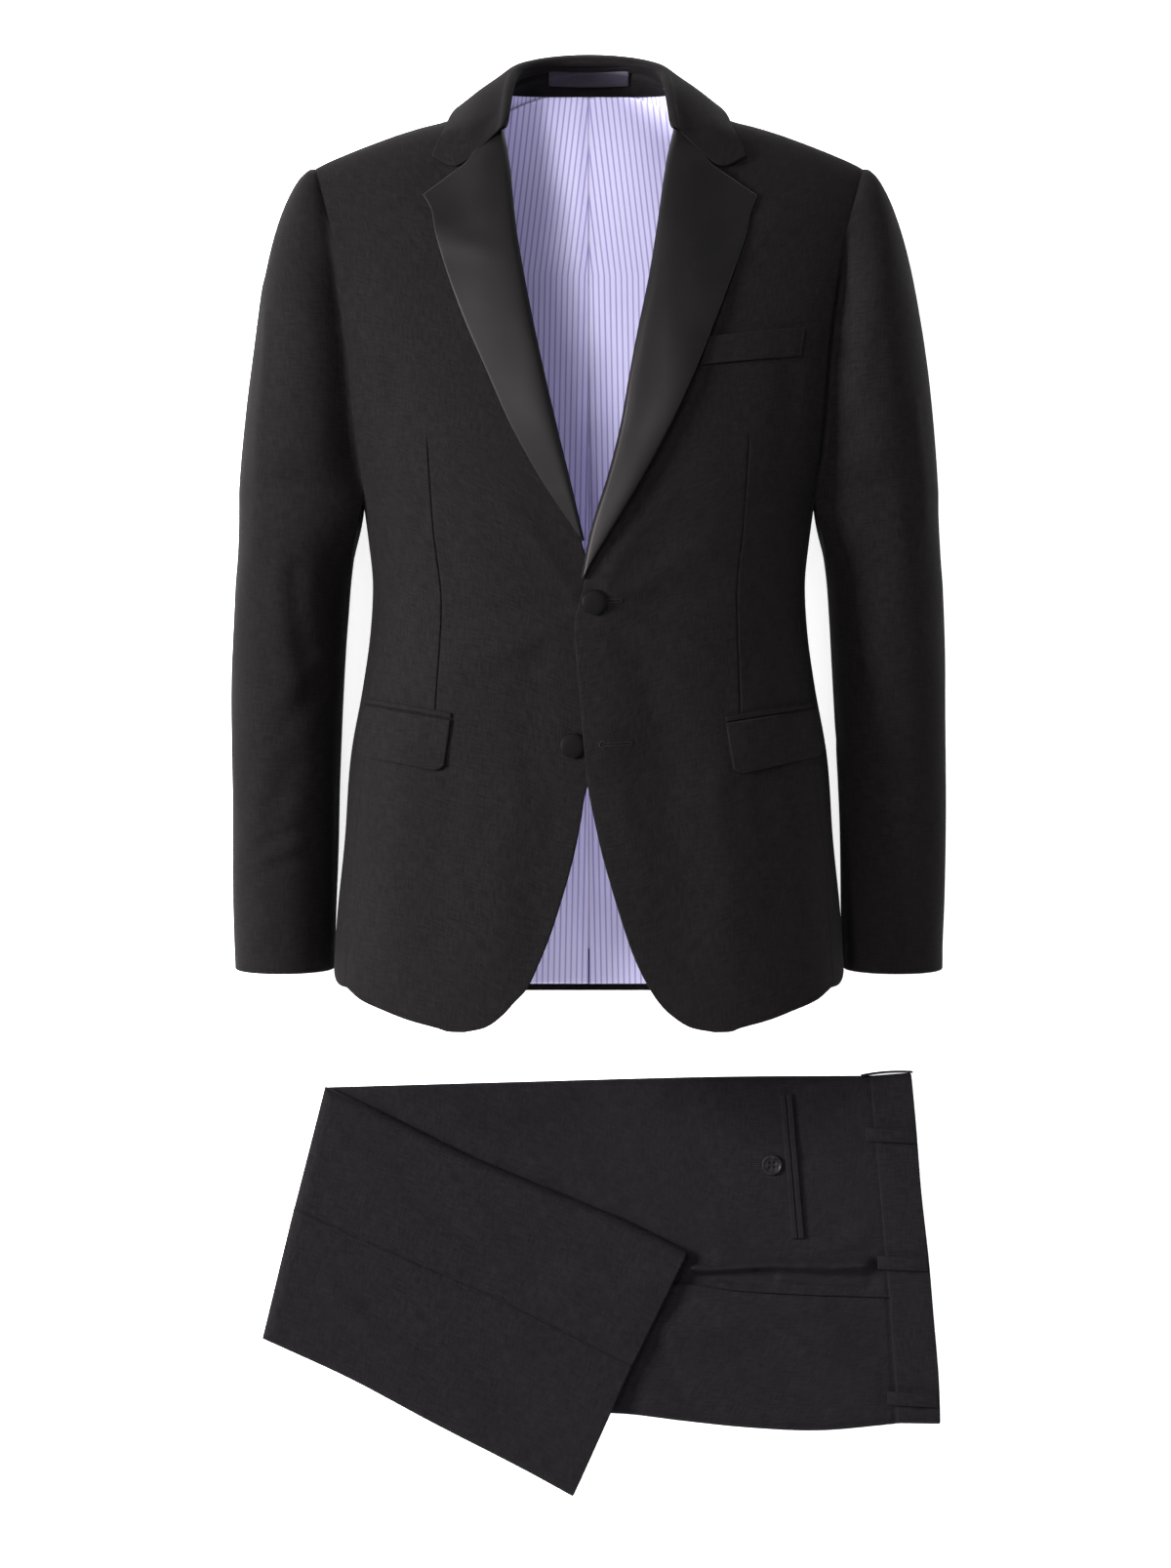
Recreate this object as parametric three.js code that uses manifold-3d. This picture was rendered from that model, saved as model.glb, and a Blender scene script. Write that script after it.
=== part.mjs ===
// A dinner suit laid out on a flat surface, in millimetres, +X to the right, +Y to the collar, +Z up.
// The jacket lies on its back, filled out and hollow. The trousers lie folded flat below its hem.
import * as THREE from "three";
import { mergeVertices } from "three/addons/utils/BufferGeometryUtils.js";
import Module from "manifold-3d";

// Walls of cloth
const WOOL = 2;
const SATIN = 1.6;
const LINING = 1.2;
const SEAM_GAP = 0.3;
const PANEL_GAP = 0.9;
const ARMHOLE_GAP = 2;
const LAID_GAP = 1.2;
const WELT_GAP = 0.45;
const FLAP_GAP = 1.1;
const FACING_GAP = 2;

// Jacket body
const ARMPIT_Y = 236;
const FRONT_FULLNESS = 2.5;
const BACK_FULLNESS = 3.4;
const BACK_FLATTENING = 1.5;
const SHOULDER_ROUNDING = 2.4;
const SHOULDER_Z = 103;
const SHOULDER_TIP_X = 222;
const NECK_POINT_X = 79;
const NAPE_Y = 583;
const NAPE_Z = 42;
const BACK_SEAM_SHARE = 0.8;
const SIDE_TONGUE = 38;
const FRONT_OVERLAP_LIFT = 3.5;

// Buttons
const COVERED_BUTTON_RADIUS = 10.2;
const COVERED_BUTTON_HEIGHT = 4.2;
const POCKET_BUTTON_RADIUS = 8.6;
const POCKET_BUTTON_HEIGHT = 2.6;
const UPPER_BUTTON = { x: 4.2, y: 142.4 };
const LOWER_BUTTON = { x: -12.8, y: 29.5 };
const POCKET_BUTTON = { x: 151.6, y: -316 };

// Trousers
const SEAT_CORE_Z = 11.6;
const SEAT_TOP_Z = 14.2;
const LEG_CORE_Z = 21.4;
const LEG_TOP_Z = 24;
const FOLD_RADIUS = 9;
const FOLD_DROP = 7;
const LAYER_BEVEL = 1.2;
const LAYER_GROOVE = 0.5;
const SEAT_LAYERS = 3;
const LEG_LAYERS = 5;

const COLOURS = {
  wool: 0x17161a,
  satin: 0x1d1c21,
  lining: 0xd6d4df,
  loop: 0x8d86a8,
  button: 0x141318,
};

// Rows of named columns.
function table(names, rows) {
  const keys = names.split(" ");
  return rows.map((row) => Object.fromEntries(keys.map((key, i) => [key, row[i]])));
}

// Half width of the body, height of its widest line, and height of its front, at each level.
const BODY = table("y half mid top", [
  [-205, 209, 92, 200],
  [-120, 205, 95, 206],
  [-40, 197.5, 98, 211],
  [25, 191.5, 100, 214],
  [80, 182.5, 102, 218],
  [120, 177, 103, 220],
  [160, 175.2, 104, 222],
  [192, 178, 104, 224],
  [224, 182, 105, 226],
  [236, 185, 105, 226],
  [290, 203, 105, 226],
  [360, 224, 105, 222],
  [430, 244, 104, 216],
  [500, 262, 103, 208],
  [590, 270, 103, 200],
]);

// Outer edge of each front: its side seam, and above the armpit its armhole.
const FRONT_SEAM = table("y x", [
  [-205, 198],
  [-77, 191],
  [2, 182],
  [81, 173],
  [160, 167],
  [224, 177],
  [236, 182],
  [260, 184.5],
  [298, 187.5],
  [358, 192.5],
  [417, 201.5],
  [448, 208.5],
  [478, 217],
  [497, 222],
]);
const BACK_ARMHOLE = table("y x", [
  [236, 184],
  [300, 186],
  [360, 190],
  [430, 203],
  [470, 214],
  [497, 222],
]);
const SHOULDER = table("x y", [
  [0, 560],
  [79, 556],
  [110, 538],
  [138, 530],
  [160, 523],
  [199, 508],
  [222, 497],
  [262, 470],
]);

// Inner edge of each front: cutaway, front edge, roll line, neck.
const INNER_EDGE = {
  left: table("y x", [
    [-198.4, 99],
    [-195, 83.5],
    [-186, 70],
    [-174.4, 59.2],
    [-164.4, 49.9],
    [-145, 40.2],
    [-121, 30.6],
    [-89.4, 20.5],
    [-61.6, 12.8],
    [-32.2, 6.6],
    [-6.7, 2.3],
    [10, -5],
    [40, -12],
    [140, -12],
    [165, -6],
    [178, 2],
    [234, 17],
    [280, 28.4],
    [321, 38],
    [359, 46.2],
    [400, 54.3],
    [442, 61.3],
    [487, 66.5],
    [518, 73],
    [556, 79],
  ]),
  right: table("y x", [
    [-198.4, 100],
    [-195, 82.3],
    [-187, 68.3],
    [-178, 58.3],
    [-164.4, 48.6],
    [-140.8, 36.7],
    [-113.4, 27],
    [-81.7, 17.3],
    [-52.3, 9.2],
    [-26, 3.4],
    [-1.3, -1.2],
    [33.4, -4.6],
    [62.7, -7],
    [92.8, -9.7],
    [122, -11.6],
    [133.7, -10.5],
    [153.7, -4.6],
    [189.8, 1.8],
    [211.5, 9.3],
    [240.9, 17.8],
    [280.4, 27.9],
    [319.5, 34.8],
    [357, 41.8],
    [400.3, 50.7],
    [443.7, 57.7],
    [485.4, 64],
    [515.6, 73],
    [556, 79],
  ]),
};
const FRONT_HEM = table("share y", [
  [0, -164],
  [0.09, -173.6],
  [0.235, -181.4],
  [0.42, -189],
  [0.66, -195],
  [0.85, -198],
  [1, -198.4],
]);

// Roll line and outer edge of each lapel, from the break to the gorge, and how far the edge stands off.
const LAPEL = {
  left: table("rollX rollY edgeX edgeY stand", [
    [5, 191, 10, 197, 3],
    [15.1, 234, 37, 237, 3],
    [26.4, 280, 62, 282, 3.2],
    [36, 321, 81, 325, 3.4],
    [44.2, 359, 98, 364, 3.6],
    [52.3, 400, 112, 402, 3.4],
    [59.3, 442, 122, 435, 3.2],
    [63.9, 487, 125.5, 455, 3],
    [68.5, 518.7, 132.6, 469.4, 3],
  ]),
  right: table("rollX rollY edgeX edgeY stand", [
    [-5, 161, 1.1, 172.6, 4],
    [3, 200, 24, 210, 6],
    [15.8, 240.9, 45, 246, 8],
    [25.9, 280.4, 66, 286, 9],
    [32.8, 319.5, 84.5, 327, 10],
    [39.8, 357, 98, 361, 10],
    [48.7, 400.3, 113, 401, 9],
    [55.7, 443.7, 124.5, 434, 7],
    [61.5, 485.4, 128.5, 453, 5],
    [66.9, 515.6, 134.4, 468.9, 3.4],
  ]),
};

// Collar sections from the centre back to the gorge. A height under a point's name is its own, and
// where onFront is 1 the leaf's heights are lifts above the front.
const COLLAR = table("seamX seamY seamZ rollX rollY rollZ leafX leafY leafZ edgeX edgeY edgeZ onFront", [
  [0, 584, 42, 0, 590, 66, 0, 595, 44, 0, 575, 16, 0],
  [34, 582, 48, 36, 588, 72, 42, 590, 50, 46, 571, 24, 0],
  [60, 572, 72, 58, 580, 95, 70, 575, 80, 84, 560, 62, 0],
  [74, 560, 104, 65, 563, 126, 88, 557, 114, 107, 546, 101, 0],
  [72, 541, 140, 66, 541, 154, 94, 526, 6.5, 118, 519, 7.5, 1],
  [69.5, 527, 158, 66.5, 527, 168, 100, 507, 4.5, 123.5, 508, 4.5, 1],
  [68.5, 522.5, 163, 67.5, 521.8, 173, 105, 492.4, 3.4, 125.3, 500.6, 3.4, 1],
]);
const COLLAR_CREST = 3.2;
const COLLAR_WALL = 1.8;

// Sleeve sections: silhouettes on both sides, height of the widest line, top and bottom.
const SLEEVE = table("y outer inner mid top low", [
  [-152, 290, 208.5, 50, 98, 0],
  [-78, 292, 206, 52, 104, 0],
  [2, 292, 203.7, 58, 114, 0],
  [81, 291.4, 199.5, 66, 126, 0],
  [161, 288.2, 194, 80, 142, 3],
  [209, 285.6, 190, 93, 152, 8],
  [236, 283.6, 186.8, 100, 158, 12],
]);
// Above the armpit the sections run from the front armhole round to the back one. They rise this far
// over the front one and fall this far below the back one.
const SLEEVE_CAP = table("y outer mid rise fall", [
  [236, 283.6, 100, 20, 60],
  [258, 282, 100, 14, 32],
  [290, 279, 101, 8, 16],
  [330, 274.5, 101, 7, 8],
  [372, 268.8, 102, 6, 6],
  [408, 262.5, 102, 6, 6],
  [440, 254.8, 103, 5, 5],
  [464, 247, 103, 4.5, 4.5],
  [480, 239.8, 103, 4, 4],
  [490, 233.5, 103, 3, 3],
  [496.5, 227, 103, 2, 2],
]);
const SLEEVE_FULLNESS = 2.3;
const SLEEVE_CLEARANCE = 4;
const SLEEVE_ROWS = 21;
const ARM_ROWS = 11;
const UNDER_ROWS = 11;
const FRONT_SLEEVE_SEAM = (150 * Math.PI) / 180;
const BACK_SLEEVE_SEAM = (-110 * Math.PI) / 180;

// Hip flaps and jets: corners on each front, outer end first.
const HIP_POCKET = {
  left: {
    outerX: 178.1, outerY: 63.4, innerX: 108.6, innerY: 50.9,
    lowOuterX: 184.9, lowOuterY: 21.8, lowInnerX: 114, lowInnerY: 8.4,
  },
  right: {
    outerX: 181.1, outerY: 60, innerX: 107.6, innerY: 48,
    lowOuterX: 188.3, lowOuterY: 22.8, lowInnerX: 113.6, lowInnerY: 5.4,
  },
};
const JET_HEIGHT = 4.6;
const FLAP_CORNER = 9;
const FLAP_CORNER_CUT = 0.6;
const BREAST_WELT = {
  outerX: 171.1, outerY: 362.4, innerX: 93.5, innerY: 352.8,
  lowOuterX: 168.2, lowOuterY: 339.2, lowInnerX: 87, lowInnerY: 329.9,
};

// Trousers: lines on the folded stack.
const TOP_FOLD = table("x y", [
  [-204, -251],
  [-57, -247.5],
  [100, -243.4],
  [233, -242.4],
]);
const SEAT_LOWER_LINE = table("x y", [
  [-204, -260],
  [-151, -285.5],
  [-103, -309],
  [-57, -329.5],
  [-9, -349],
  [29.5, -365],
  [74, -388],
  [86, -402],
  [98, -414],
  [121, -420],
  [185, -423.6],
  [248, -426.2],
]);
const CENTRE_SEAM = table("x y", [
  [73, -412],
  [121, -420.6],
  [185, -424.2],
  [248, -426.8],
]);
const SEAT_BOTTOM = table("x y", [
  [18, -522.6],
  [38, -523.6],
  [80, -529],
  [121, -533.3],
  [172, -536.5],
  [203, -536],
  [255, -531],
]);
const WAIST_SEAM = table("y x", [
  [-531, 255.6],
  [-502, 254.8],
  [-463, 251.7],
  [-422, 249.1],
  [-381, 245.3],
  [-323, 240.4],
  [-284, 237],
  [-242, 233.6],
]);
const WAIST_EDGE = table("y x", [
  [-531, 291],
  [-492, 289.5],
  [-442, 285.4],
  [-395, 281.4],
  [-337, 275],
  [-285.5, 271],
  [-240, 266.8],
]);
const LEG_UPPER_EDGE = table("x y", [
  [-218, -251],
  [-189, -264],
  [-151, -282.5],
  [-103.5, -306],
  [-57, -326],
  [-9, -345.4],
  [29.5, -361.5],
  [82, -387.3],
]);
const LEG_OUTSEAM = table("x y", [
  [-243.4, -350.5],
  [-151, -392.5],
  [-80, -423.2],
  [-9, -458.7],
  [36, -481.3],
]);
const LEG_LOWER_EDGE = table("x y", [
  [-270, -459.4],
  [-198.6, -492.1],
  [-127.7, -529.9],
  [-56.8, -566.2],
  [-13.2, -590],
]);
const BELT_LOOPS = table("x y lean", [
  [249.5, -291.4, -0.5],
  [259.5, -397.3, -0.5],
  [267.6, -509.6, -0.6],
]);
const BELT_LOOP_LENGTH = 43;
const BELT_LOOP_WIDTH = 11;
const BELT_LOOP_ON_FOLD = { x: 247, y: -240.5, bottom: 2, height: 12 };
const WAISTBAND_LENGTH = 290;
const WAISTBAND_RAISE = 0.8;
// The slanting opening of the back pocket, and the width of its two welts.
const BACK_POCKET = { topX: 163, topY: -257.4, bottomX: 173.2, bottomY: -377, weltWidth: 5 };
// Ridges and troughs across the seat: ends, height and width.
const SEAT_FOLDS = table("x1 y1 x2 y2 height width", [
  [92, -402, 205, -401, 6, 7],
  [78, -411, 205, -408, -3.5, 4],
  [110, -392, 236, -394, 2.5, 9],
  [60, -450, 200, -452, 2, 16],
]);

const mix = (a, b, t) => a + (b - a) * t;
const clamp = (t) => Math.min(Math.max(t, 0), 1);
const smooth = (a, b, x) => {
  const t = clamp((x - a) / (b - a));
  return t * t * (3 - 2 * t);
};

// A smooth curve through a table's rows, from one column to another.
function curve(rows, from, to) {
  const last = rows.length - 1;
  const slope = (k) => {
    const a = rows[Math.max(k - 1, 0)];
    const b = rows[Math.min(k + 1, last)];
    return (b[to] - a[to]) / (b[from] - a[from]);
  };
  return (value) => {
    let k = 0;
    while (k < last - 1 && value > rows[k + 1][from]) k += 1;
    const a = rows[k];
    const b = rows[k + 1];
    const width = b[from] - a[from];
    const t = clamp((value - a[from]) / width);
    const t2 = t * t;
    const t3 = t2 * t;
    return (
      (2 * t3 - 3 * t2 + 1) * a[to] +
      (t3 - 2 * t2 + t) * width * slope(k) +
      (3 * t2 - 2 * t3) * b[to] +
      (t3 - t2) * width * slope(k + 1)
    );
  };
}

// The same, by the share of the rows passed: 0 at the first row and 1 at the last.
function alongRows(rows, to) {
  const counted = rows.map((row, i) => ({ at: i / (rows.length - 1), value: row[to] }));
  return curve(counted, "at", "value");
}

// A closed wall between two offsets of the surface point(u, v), both from 0 to 1.
function wall(point, columns, rows, near, far, outward) {
  const step = 0.004;
  const positions = [];
  const du = new THREE.Vector3();
  const dv = new THREE.Vector3();
  for (const offset of [near, far]) {
    for (let j = 0; j <= rows; j += 1) {
      for (let i = 0; i <= columns; i += 1) {
        const u = i / columns;
        const v = j / rows;
        du.subVectors(point(Math.min(u + step, 1), v), point(Math.max(u - step, 0), v));
        dv.subVectors(point(u, Math.min(v + step, 1)), point(u, Math.max(v - step, 0)));
        const normal = du.cross(dv).normalize().multiplyScalar(outward);
        const p = point(u, v).addScaledVector(normal, offset);
        positions.push(p.x, p.y, p.z);
      }
    }
  }
  const layer = (columns + 1) * (rows + 1);
  const at = (i, j, k) => k * layer + j * (columns + 1) + i;
  const index = [];
  const quad = (a, b, c, d) => index.push(a, b, c, a, c, d);
  for (let j = 0; j < rows; j += 1) {
    for (let i = 0; i < columns; i += 1) {
      quad(at(i, j, 1), at(i + 1, j, 1), at(i + 1, j + 1, 1), at(i, j + 1, 1));
      quad(at(i, j, 0), at(i, j + 1, 0), at(i + 1, j + 1, 0), at(i + 1, j, 0));
    }
  }
  for (let i = 0; i < columns; i += 1) {
    quad(at(i, 0, 0), at(i + 1, 0, 0), at(i + 1, 0, 1), at(i, 0, 1));
    quad(at(i, rows, 1), at(i + 1, rows, 1), at(i + 1, rows, 0), at(i, rows, 0));
  }
  for (let j = 0; j < rows; j += 1) {
    quad(at(0, j, 1), at(0, j + 1, 1), at(0, j + 1, 0), at(0, j, 0));
    quad(at(columns, j, 0), at(columns, j + 1, 0), at(columns, j + 1, 1), at(columns, j, 1));
  }
  return facingOut(positions, index);
}

// A geometry of these triangles, turned so that its faces point out.
function facingOut(positions, index) {
  let volume = 0;
  const p = (k) => new THREE.Vector3().fromArray(positions, 3 * k);
  for (let k = 0; k < index.length; k += 3) {
    volume += p(index[k]).dot(p(index[k + 1]).cross(p(index[k + 2])));
  }
  if (volume < 0) index.reverse();
  const geometry = new THREE.BufferGeometry();
  geometry.setAttribute("position", new THREE.Float32BufferAttribute(positions, 3));
  geometry.setIndex(index);
  geometry.computeVertexNormals();
  return geometry;
}

const bodyHalf = curve(BODY, "y", "half");
const bodyMid = curve(BODY, "y", "mid");
const bodyTop = curve(BODY, "y", "top");
const shoulderY = curve(SHOULDER, "x", "y");
const frontSeamX = curve(FRONT_SEAM, "y", "x");
const backArmholeX = curve(BACK_ARMHOLE, "y", "x");
const frontHemY = curve(FRONT_HEM, "share", "y");

const rounding = (t, power) => (1 - clamp(t) ** power) ** (1 / power);

// Height of the jacket's front over a place.
function frontHeight(x, y) {
  const mid = bodyMid(y);
  const open = mid + (bodyTop(y) - mid) * rounding(Math.abs(x) / bodyHalf(y), FRONT_FULLNESS);
  if (y <= ARMPIT_Y) return open;
  const up = (y - ARMPIT_Y) / (shoulderY(Math.abs(x)) - ARMPIT_Y);
  return SHOULDER_Z + (open - SHOULDER_Z) * rounding(up, SHOULDER_ROUNDING);
}

const neckShare = (x) => clamp(Math.abs(x) / NECK_POINT_X);
const backTopY = (x) => {
  if (Math.abs(x) >= NECK_POINT_X) return shoulderY(Math.abs(x));
  return mix(NAPE_Y, shoulderY(NECK_POINT_X), neckShare(x) ** 2.2);
};
const backTopZ = (x) => mix(NAPE_Z, SHOULDER_Z, neckShare(x) ** 2);

// Height of the jacket's back over a place: flat on the ground along its middle.
function backHeight(x, y) {
  const open = bodyMid(y) * (1 - rounding(Math.abs(x) / bodyHalf(y), BACK_FULLNESS)) - BACK_FLATTENING;
  const flat = Math.max(open, 0);
  if (y <= ARMPIT_Y) return flat;
  const up = (y - ARMPIT_Y) / (backTopY(x) - ARMPIT_Y);
  return mix(backTopZ(x), flat, rounding(up, SHOULDER_ROUNDING));
}

// The overlapping front rides over the other one, and over the button that is left undone.
function overlapLift(side, x, y) {
  if (side !== "right") return 0;
  const overButton = 5 * Math.exp(-(((y - LOWER_BUTTON.y) / 24) ** 2));
  return (FRONT_OVERLAP_LIFT + overButton) * (1 - smooth(8, 60, x));
}

const signOf = (side) => (side === "left" ? -1 : 1);

// A place on a front, with x counted outward from the centre.
function onFront(side, x, y) {
  return new THREE.Vector3(signOf(side) * x, y, frontHeight(x, y) + overlapLift(side, x, y));
}

function frontPanel(side) {
  const innerX = curve(INNER_EDGE[side], "y", "x");
  const point = (u, v) => {
    const share = u ** 1.4;
    const level = mix(v, 0.5 - 0.5 * Math.cos(Math.PI * v), 0.8);
    const top = shoulderY(mix(SHOULDER_TIP_X, NECK_POINT_X, share)) - SEAM_GAP;
    const y = mix(frontHemY(share), top, level);
    return onFront(side, mix(frontSeamX(y), innerX(y), share), y);
  };
  return wall(point, 9, 22, -WOOL, 0, -signOf(side));
}

// The side panel runs round the body's widest line, from the front seam to the back one, and ends in
// a tongue along the back armhole.
function sidePanel(side) {
  const rows = BACK_ROWS_TO_ARMPIT + 1;
  const tongueStart = 0.43;
  const round = (u, y) => {
    const half = bodyHalf(y);
    const front = Math.acos(((frontSeamX(y) + PANEL_GAP) / half) ** (FRONT_FULLNESS / 2));
    const back = Math.acos((BACK_SEAM_SHARE + PANEL_GAP / half) ** (BACK_FULLNESS / 2));
    const angle = mix(front, -back, u);
    if (angle > 0) {
      const x = half * Math.cos(angle) ** (2 / FRONT_FULLNESS);
      return new THREE.Vector3(signOf(side) * x, y, frontHeight(x, y));
    }
    const x = half * Math.cos(angle) ** (2 / BACK_FULLNESS);
    return new THREE.Vector3(signOf(side) * x, y, backHeight(x, y));
  };
  const foot = ARMPIT_Y - 2.6;
  const point = (u, v) => {
    const row = v * rows;
    const y = mix(mix(-165, -172, u), foot, Math.min(row / BACK_ROWS_TO_ARMPIT, 1));
    const below = round(u, y);
    if (row <= BACK_ROWS_TO_ARMPIT) return below;
    const t = clamp((u - tongueStart) / (1 - tongueStart));
    const top = foot + 1 + (SIDE_TONGUE - 1) * t;
    const x = backArmholeX(top) - 1 - 2 * (1 - t);
    const tongue = new THREE.Vector3(signOf(side) * x, top, backHeight(x, top) + 3 * t);
    const tip = t > 0 ? tongue : below.clone().setY(foot + 1);
    return below.lerp(tip, row - BACK_ROWS_TO_ARMPIT);
  };
  return wall(point, 7, rows, -WOOL, 0, signOf(side));
}

// A place on the back, with x counted outward from the centre.
function onBack(side, x, y) {
  return new THREE.Vector3(signOf(side) * x, y, backHeight(x, y));
}

const BACK_COLUMNS = [0, 0.075, 0.15, 0.225, 0.3, 0.42, 0.58, 0.78, 1];
const BACK_ROWS = 17;
const BACK_ROWS_TO_ARMPIT = 8;
const LINING_COLUMNS = 5;
const LINING_FOOT_ROW = 0.06;
const FACING_COLUMNS = 4;
const FACING_ROWS = 1;

// A place on the back panel: columns from the centre seam out, rows from the hem to the neck.
function backPlace(side, column, row) {
  const k = Math.min(Math.floor(column), BACK_COLUMNS.length - 2);
  const share = mix(BACK_COLUMNS[k], BACK_COLUMNS[k + 1], column - k);
  const above = Math.max(row - BACK_ROWS_TO_ARMPIT, 0) / (BACK_ROWS - BACK_ROWS_TO_ARMPIT);
  const below = Math.min(row / BACK_ROWS_TO_ARMPIT, 1);
  const top = backTopY(SHOULDER_TIP_X * share) - 2 * SEAM_GAP;
  const y = above > 0 ? mix(ARMPIT_Y, top, 1 - (1 - above) ** 1.55) : mix(-172, ARMPIT_Y, below);
  const seamX = bodyHalf(ARMPIT_Y) * BACK_SEAM_SHARE;
  const turn = smooth(0, 0.11, above);
  const outer = above > 0 ? mix(seamX, backArmholeX(y), turn) : bodyHalf(y) * BACK_SEAM_SHARE;
  return onBack(side, mix(SEAM_GAP / 2, outer, share), y);
}

function backPanel(side) {
  const columns = BACK_COLUMNS.length - 1;
  const point = (u, v) => backPlace(side, u * columns, v * BACK_ROWS);
  return wall(point, columns, BACK_ROWS, -WOOL, 0, -signOf(side));
}

const sleeveOuter = curve(SLEEVE, "y", "outer");
const sleeveInner = curve(SLEEVE, "y", "inner");
const sleeveMid = curve(SLEEVE, "y", "mid");
const sleeveTop = curve(SLEEVE, "y", "top");
const sleeveLow = curve(SLEEVE, "y", "low");
const cap = {
  outer: curve(SLEEVE_CAP, "y", "outer"),
  mid: curve(SLEEVE_CAP, "y", "mid"),
  rise: curve(SLEEVE_CAP, "y", "rise"),
  fall: curve(SLEEVE_CAP, "y", "fall"),
};

// A place round a sleeve section: 0 faces out, a quarter turn faces up and a half turn faces the body.
function onSection(side, y, section, angle) {
  const c = Math.cos(angle);
  const s = Math.sin(angle);
  const inner = s > 0 ? section.innerUp : section.innerDown;
  const centre = (section.outer + inner) / 2;
  const half = (section.outer - inner) / 2;
  const x = centre + half * Math.sign(c) * Math.abs(c) ** (2 / SLEEVE_FULLNESS);
  const reach = s > 0 ? section.up : section.down;
  const z = section.mid + reach * Math.sign(s) * Math.abs(s) ** (2 / SLEEVE_FULLNESS);
  return new THREE.Vector3(signOf(side) * x, y, z);
}

function armSection(y) {
  const mid = sleeveMid(y);
  const inner = sleeveInner(y);
  return {
    outer: sleeveOuter(y),
    innerUp: inner,
    innerDown: inner,
    mid,
    up: sleeveTop(y) - mid,
    down: mid - sleeveLow(y),
  };
}

// A section above the armpit meets the front and the back at their armholes.
function capSection(y) {
  const frontX = frontSeamX(y) + ARMHOLE_GAP;
  const backX = backArmholeX(y) + ARMHOLE_GAP;
  const outer = cap.outer(y);
  const mid = cap.mid(y);
  const frontZ = frontHeight(frontSeamX(y), y);
  const backZ = backHeight(backArmholeX(y), y);
  const up = frontZ + cap.rise(y) - mid;
  const down = Math.min(mid - backZ + cap.fall(y), mid - SLEEVE_CLEARANCE);
  const meet = (share, x) => {
    const angle = Math.PI - Math.asin(clamp(share) ** (SLEEVE_FULLNESS / 2));
    const c = -(Math.abs(Math.cos(angle)) ** (2 / SLEEVE_FULLNESS));
    return { angle, inner: (2 * x - outer * (1 + c)) / (1 - c) };
  };
  const front = meet((frontZ - mid) / up, frontX);
  const back = meet((mid - backZ) / down, backX);
  return {
    outer,
    mid,
    up,
    down,
    front: front.angle,
    back: -back.angle,
    innerUp: front.inner,
    innerDown: back.inner,
  };
}

// Angles of the two sleeve seams. They reach the armholes at the armpit.
function sleeveSeams(y) {
  const armpit = capSection(ARMPIT_Y);
  return {
    front: mix(FRONT_SLEEVE_SEAM, armpit.front, smooth(100, ARMPIT_Y, y)),
    back: mix(BACK_SLEEVE_SEAM, armpit.back, smooth(-60, ARMPIT_Y, y)),
  };
}

const armLevel = (row) => mix(SLEEVE[0].y, ARMPIT_Y, row / ARM_ROWS);

function topSleeve(side) {
  const armpit = capSection(ARMPIT_Y);
  const onArm = (u, row) => {
    const y = armLevel(row);
    const seams = sleeveSeams(y);
    return onSection(side, y, armSection(y), mix(seams.front, seams.back, u));
  };
  const onArmhole = (u) => onSection(side, ARMPIT_Y, armpit, mix(armpit.front, armpit.back, u));
  const point = (u, v) => {
    const row = v * SLEEVE_ROWS;
    if (row <= ARM_ROWS - 1) return onArm(u, row);
    if (row < ARM_ROWS) return onArm(u, ARM_ROWS - 1).lerp(onArmhole(u), row - ARM_ROWS + 1);
    const level = 1 - (1 - (row - ARM_ROWS) / (SLEEVE_ROWS - ARM_ROWS)) ** 1.5;
    const y = mix(ARMPIT_Y, SLEEVE_CAP[SLEEVE_CAP.length - 1].y, level);
    const section = capSection(y);
    return onSection(side, y, section, mix(section.front, section.back, u));
  };
  return wall(point, 12, SLEEVE_ROWS, -WOOL, 0, -signOf(side));
}

// The under sleeve closes the arm on the body's side, up to the foot of the armhole.
function underSleeve(side) {
  const gap = 0.02;
  const lastLevel = armLevel(UNDER_ROWS - 1);
  const onArm = (u, y) => {
    const seams = sleeveSeams(y);
    return onSection(side, y, armSection(y), mix(seams.front + gap, seams.back + 2 * Math.PI - gap, u));
  };
  const armpit = capSection(ARMPIT_Y);
  const clear = new THREE.Vector3(signOf(side) * 2.5, -1, 0);
  const front = onSection(side, ARMPIT_Y, armpit, armpit.front).add(clear);
  const back = onSection(side, ARMPIT_Y, armpit, armpit.back).add(clear);
  const footX = signOf(side) * (sleeveInner(ARMPIT_Y) + 4);
  const foot = new THREE.Vector3(footX, ARMPIT_Y - 1, sleeveMid(ARMPIT_Y));
  const scye = new THREE.QuadraticBezierCurve3(front, foot, back);
  const point = (u, v) => {
    const row = v * UNDER_ROWS;
    if (row <= UNDER_ROWS - 1) return onArm(u, armLevel(row));
    return onArm(u, lastLevel).lerp(scye.getPoint(mix(0.06, 0.94, u)), row - UNDER_ROWS + 1);
  };
  return wall(point, 6, UNDER_ROWS, -WOOL, 0, signOf(side));
}

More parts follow.
